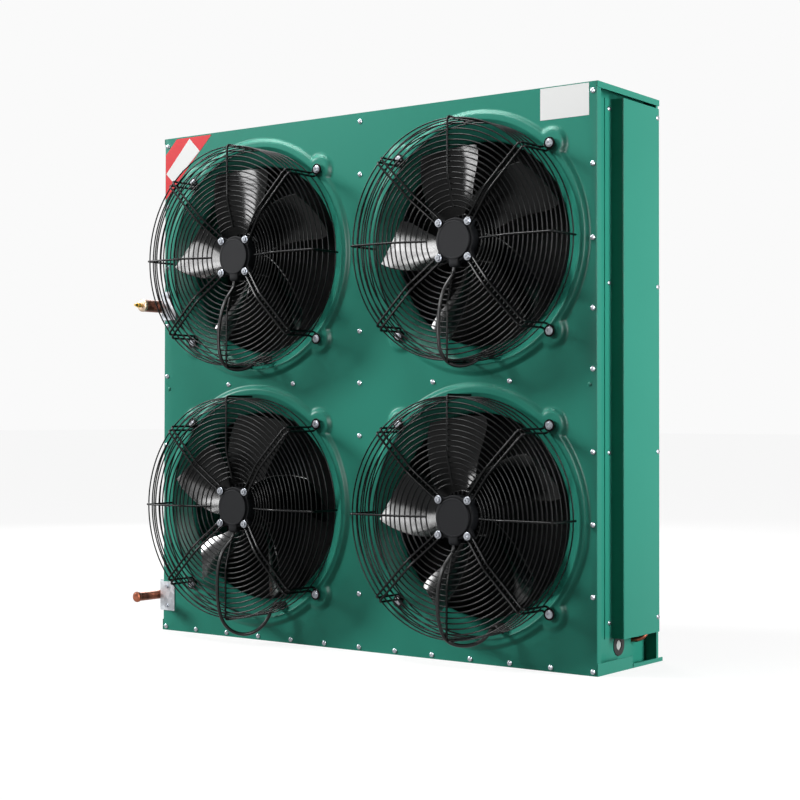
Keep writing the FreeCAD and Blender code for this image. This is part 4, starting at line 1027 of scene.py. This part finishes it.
# %% Studio
WHITE = linear("#FAFAFA")
AMBIENT, FLOOR_GLOW = 0.015, 0.88
FLOOR_REACH, FLOOR_GAP = 40.0, 0.5 * MM
MIDDLE, CARD_AIM = (0.0, 0.0, 0.55), (0.0, 0.0, 0.7)


def bright_rays(owner):
    """1 for the rays that see the bright background: camera, glossy and transmitted ones."""
    rays = add(owner, "ShaderNodeLightPath", {}).outputs
    seen = add(owner, "ShaderNodeMath", {0: rays["Is Camera Ray"], 1: rays["Is Glossy Ray"]},
               operation="MAXIMUM").outputs[0]
    return add(owner, "ShaderNodeMath", {0: seen, 1: rays["Is Transmission Ray"]},
               operation="MAXIMUM").outputs[0]


def studio_floor():
    """A wide flat sheet at the object's foot, white for the camera and still holding shadow."""
    finish, shader = new_finish("pale floor", "#7A7A7A", roughness=0.9, specular_ior_level=0.0)
    glow = add(finish, "ShaderNodeMath", {0: bright_rays(finish), 1: FLOOR_GLOW},
               operation="MULTIPLY")
    link(finish, glow.outputs[0], shader, "Emission Strength")
    shader.inputs["Emission Color"].default_value = WHITE
    x, y = np.meshgrid([-FLOOR_REACH, FLOOR_REACH], [-FLOOR_REACH, FLOOR_REACH])
    sheet = np.stack([x, y, np.full_like(x, -FLOOR_GAP)], -1)
    floor = surface("floor", [(sheet, False, False)], finish, outward=False)
    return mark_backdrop(floor)


def studio_world():
    """Soft grey light all round; white to the camera and in mirror and glass rays."""
    world = bpy.context.scene.world = bpy.data.worlds.new("studio")
    world.use_nodes = True
    back = world.node_tree.nodes["Background"]
    level = add(world, "ShaderNodeMapRange", {"Value": bright_rays(world), "To Min": AMBIENT})
    link(world, level.outputs["Result"], back, "Strength")
    back.inputs["Color"].default_value = WHITE


def softbox(name, place, aim, size, power):
    """A rectangular area lamp at a place, turned to face a point."""
    lamp = bpy.data.lights.new(name, "AREA")
    lamp.shape = "RECTANGLE"
    lamp.size, lamp.size_y = size
    lamp.energy = power
    made = new_object(name, lamp)
    made.location = place
    towards = np.subtract(aim, place)
    yaw = math.atan2(towards[0], -towards[1])
    pitch = math.atan2(math.hypot(towards[0], towards[1]), -towards[2])
    made.rotation_euler = (pitch, 0, yaw + math.pi)
    return made


def far_lamp(name, tilt, yaw, power, width):
    """A sun as wide as a lamp looks: tilted from straight down, then turned by the yaw."""
    lamp = bpy.data.lights.new(name, "SUN")
    lamp.energy, lamp.angle = power, math.radians(width)
    new_object(name, lamp).rotation_euler = (math.radians(tilt), 0, math.radians(yaw))


studio_floor()
studio_world()
softbox("side softbox", (3.2, 0.5, 1.0), MIDDLE, (1.0, 1.8), 104)
softbox("back softbox", (-2.4, 2.6, 1.8), MIDDLE, (1.2, 1.8), 75)
softbox("top softbox", (-0.3, -1.0, 2.6), MIDDLE, (1.2, 0.6), 31)
far_lamp("far left lamp", tilt=68, yaw=-60, power=3.7, width=14)
for card in (softbox("front card", (0.8, -3.1, 1.2), CARD_AIM, (1.0, 0.9), 110),
             softbox("top left card", (-1.3, -0.9, 3.4), CARD_AIM, (1.5, 1.5), 150)):
    card.visible_diffuse = False
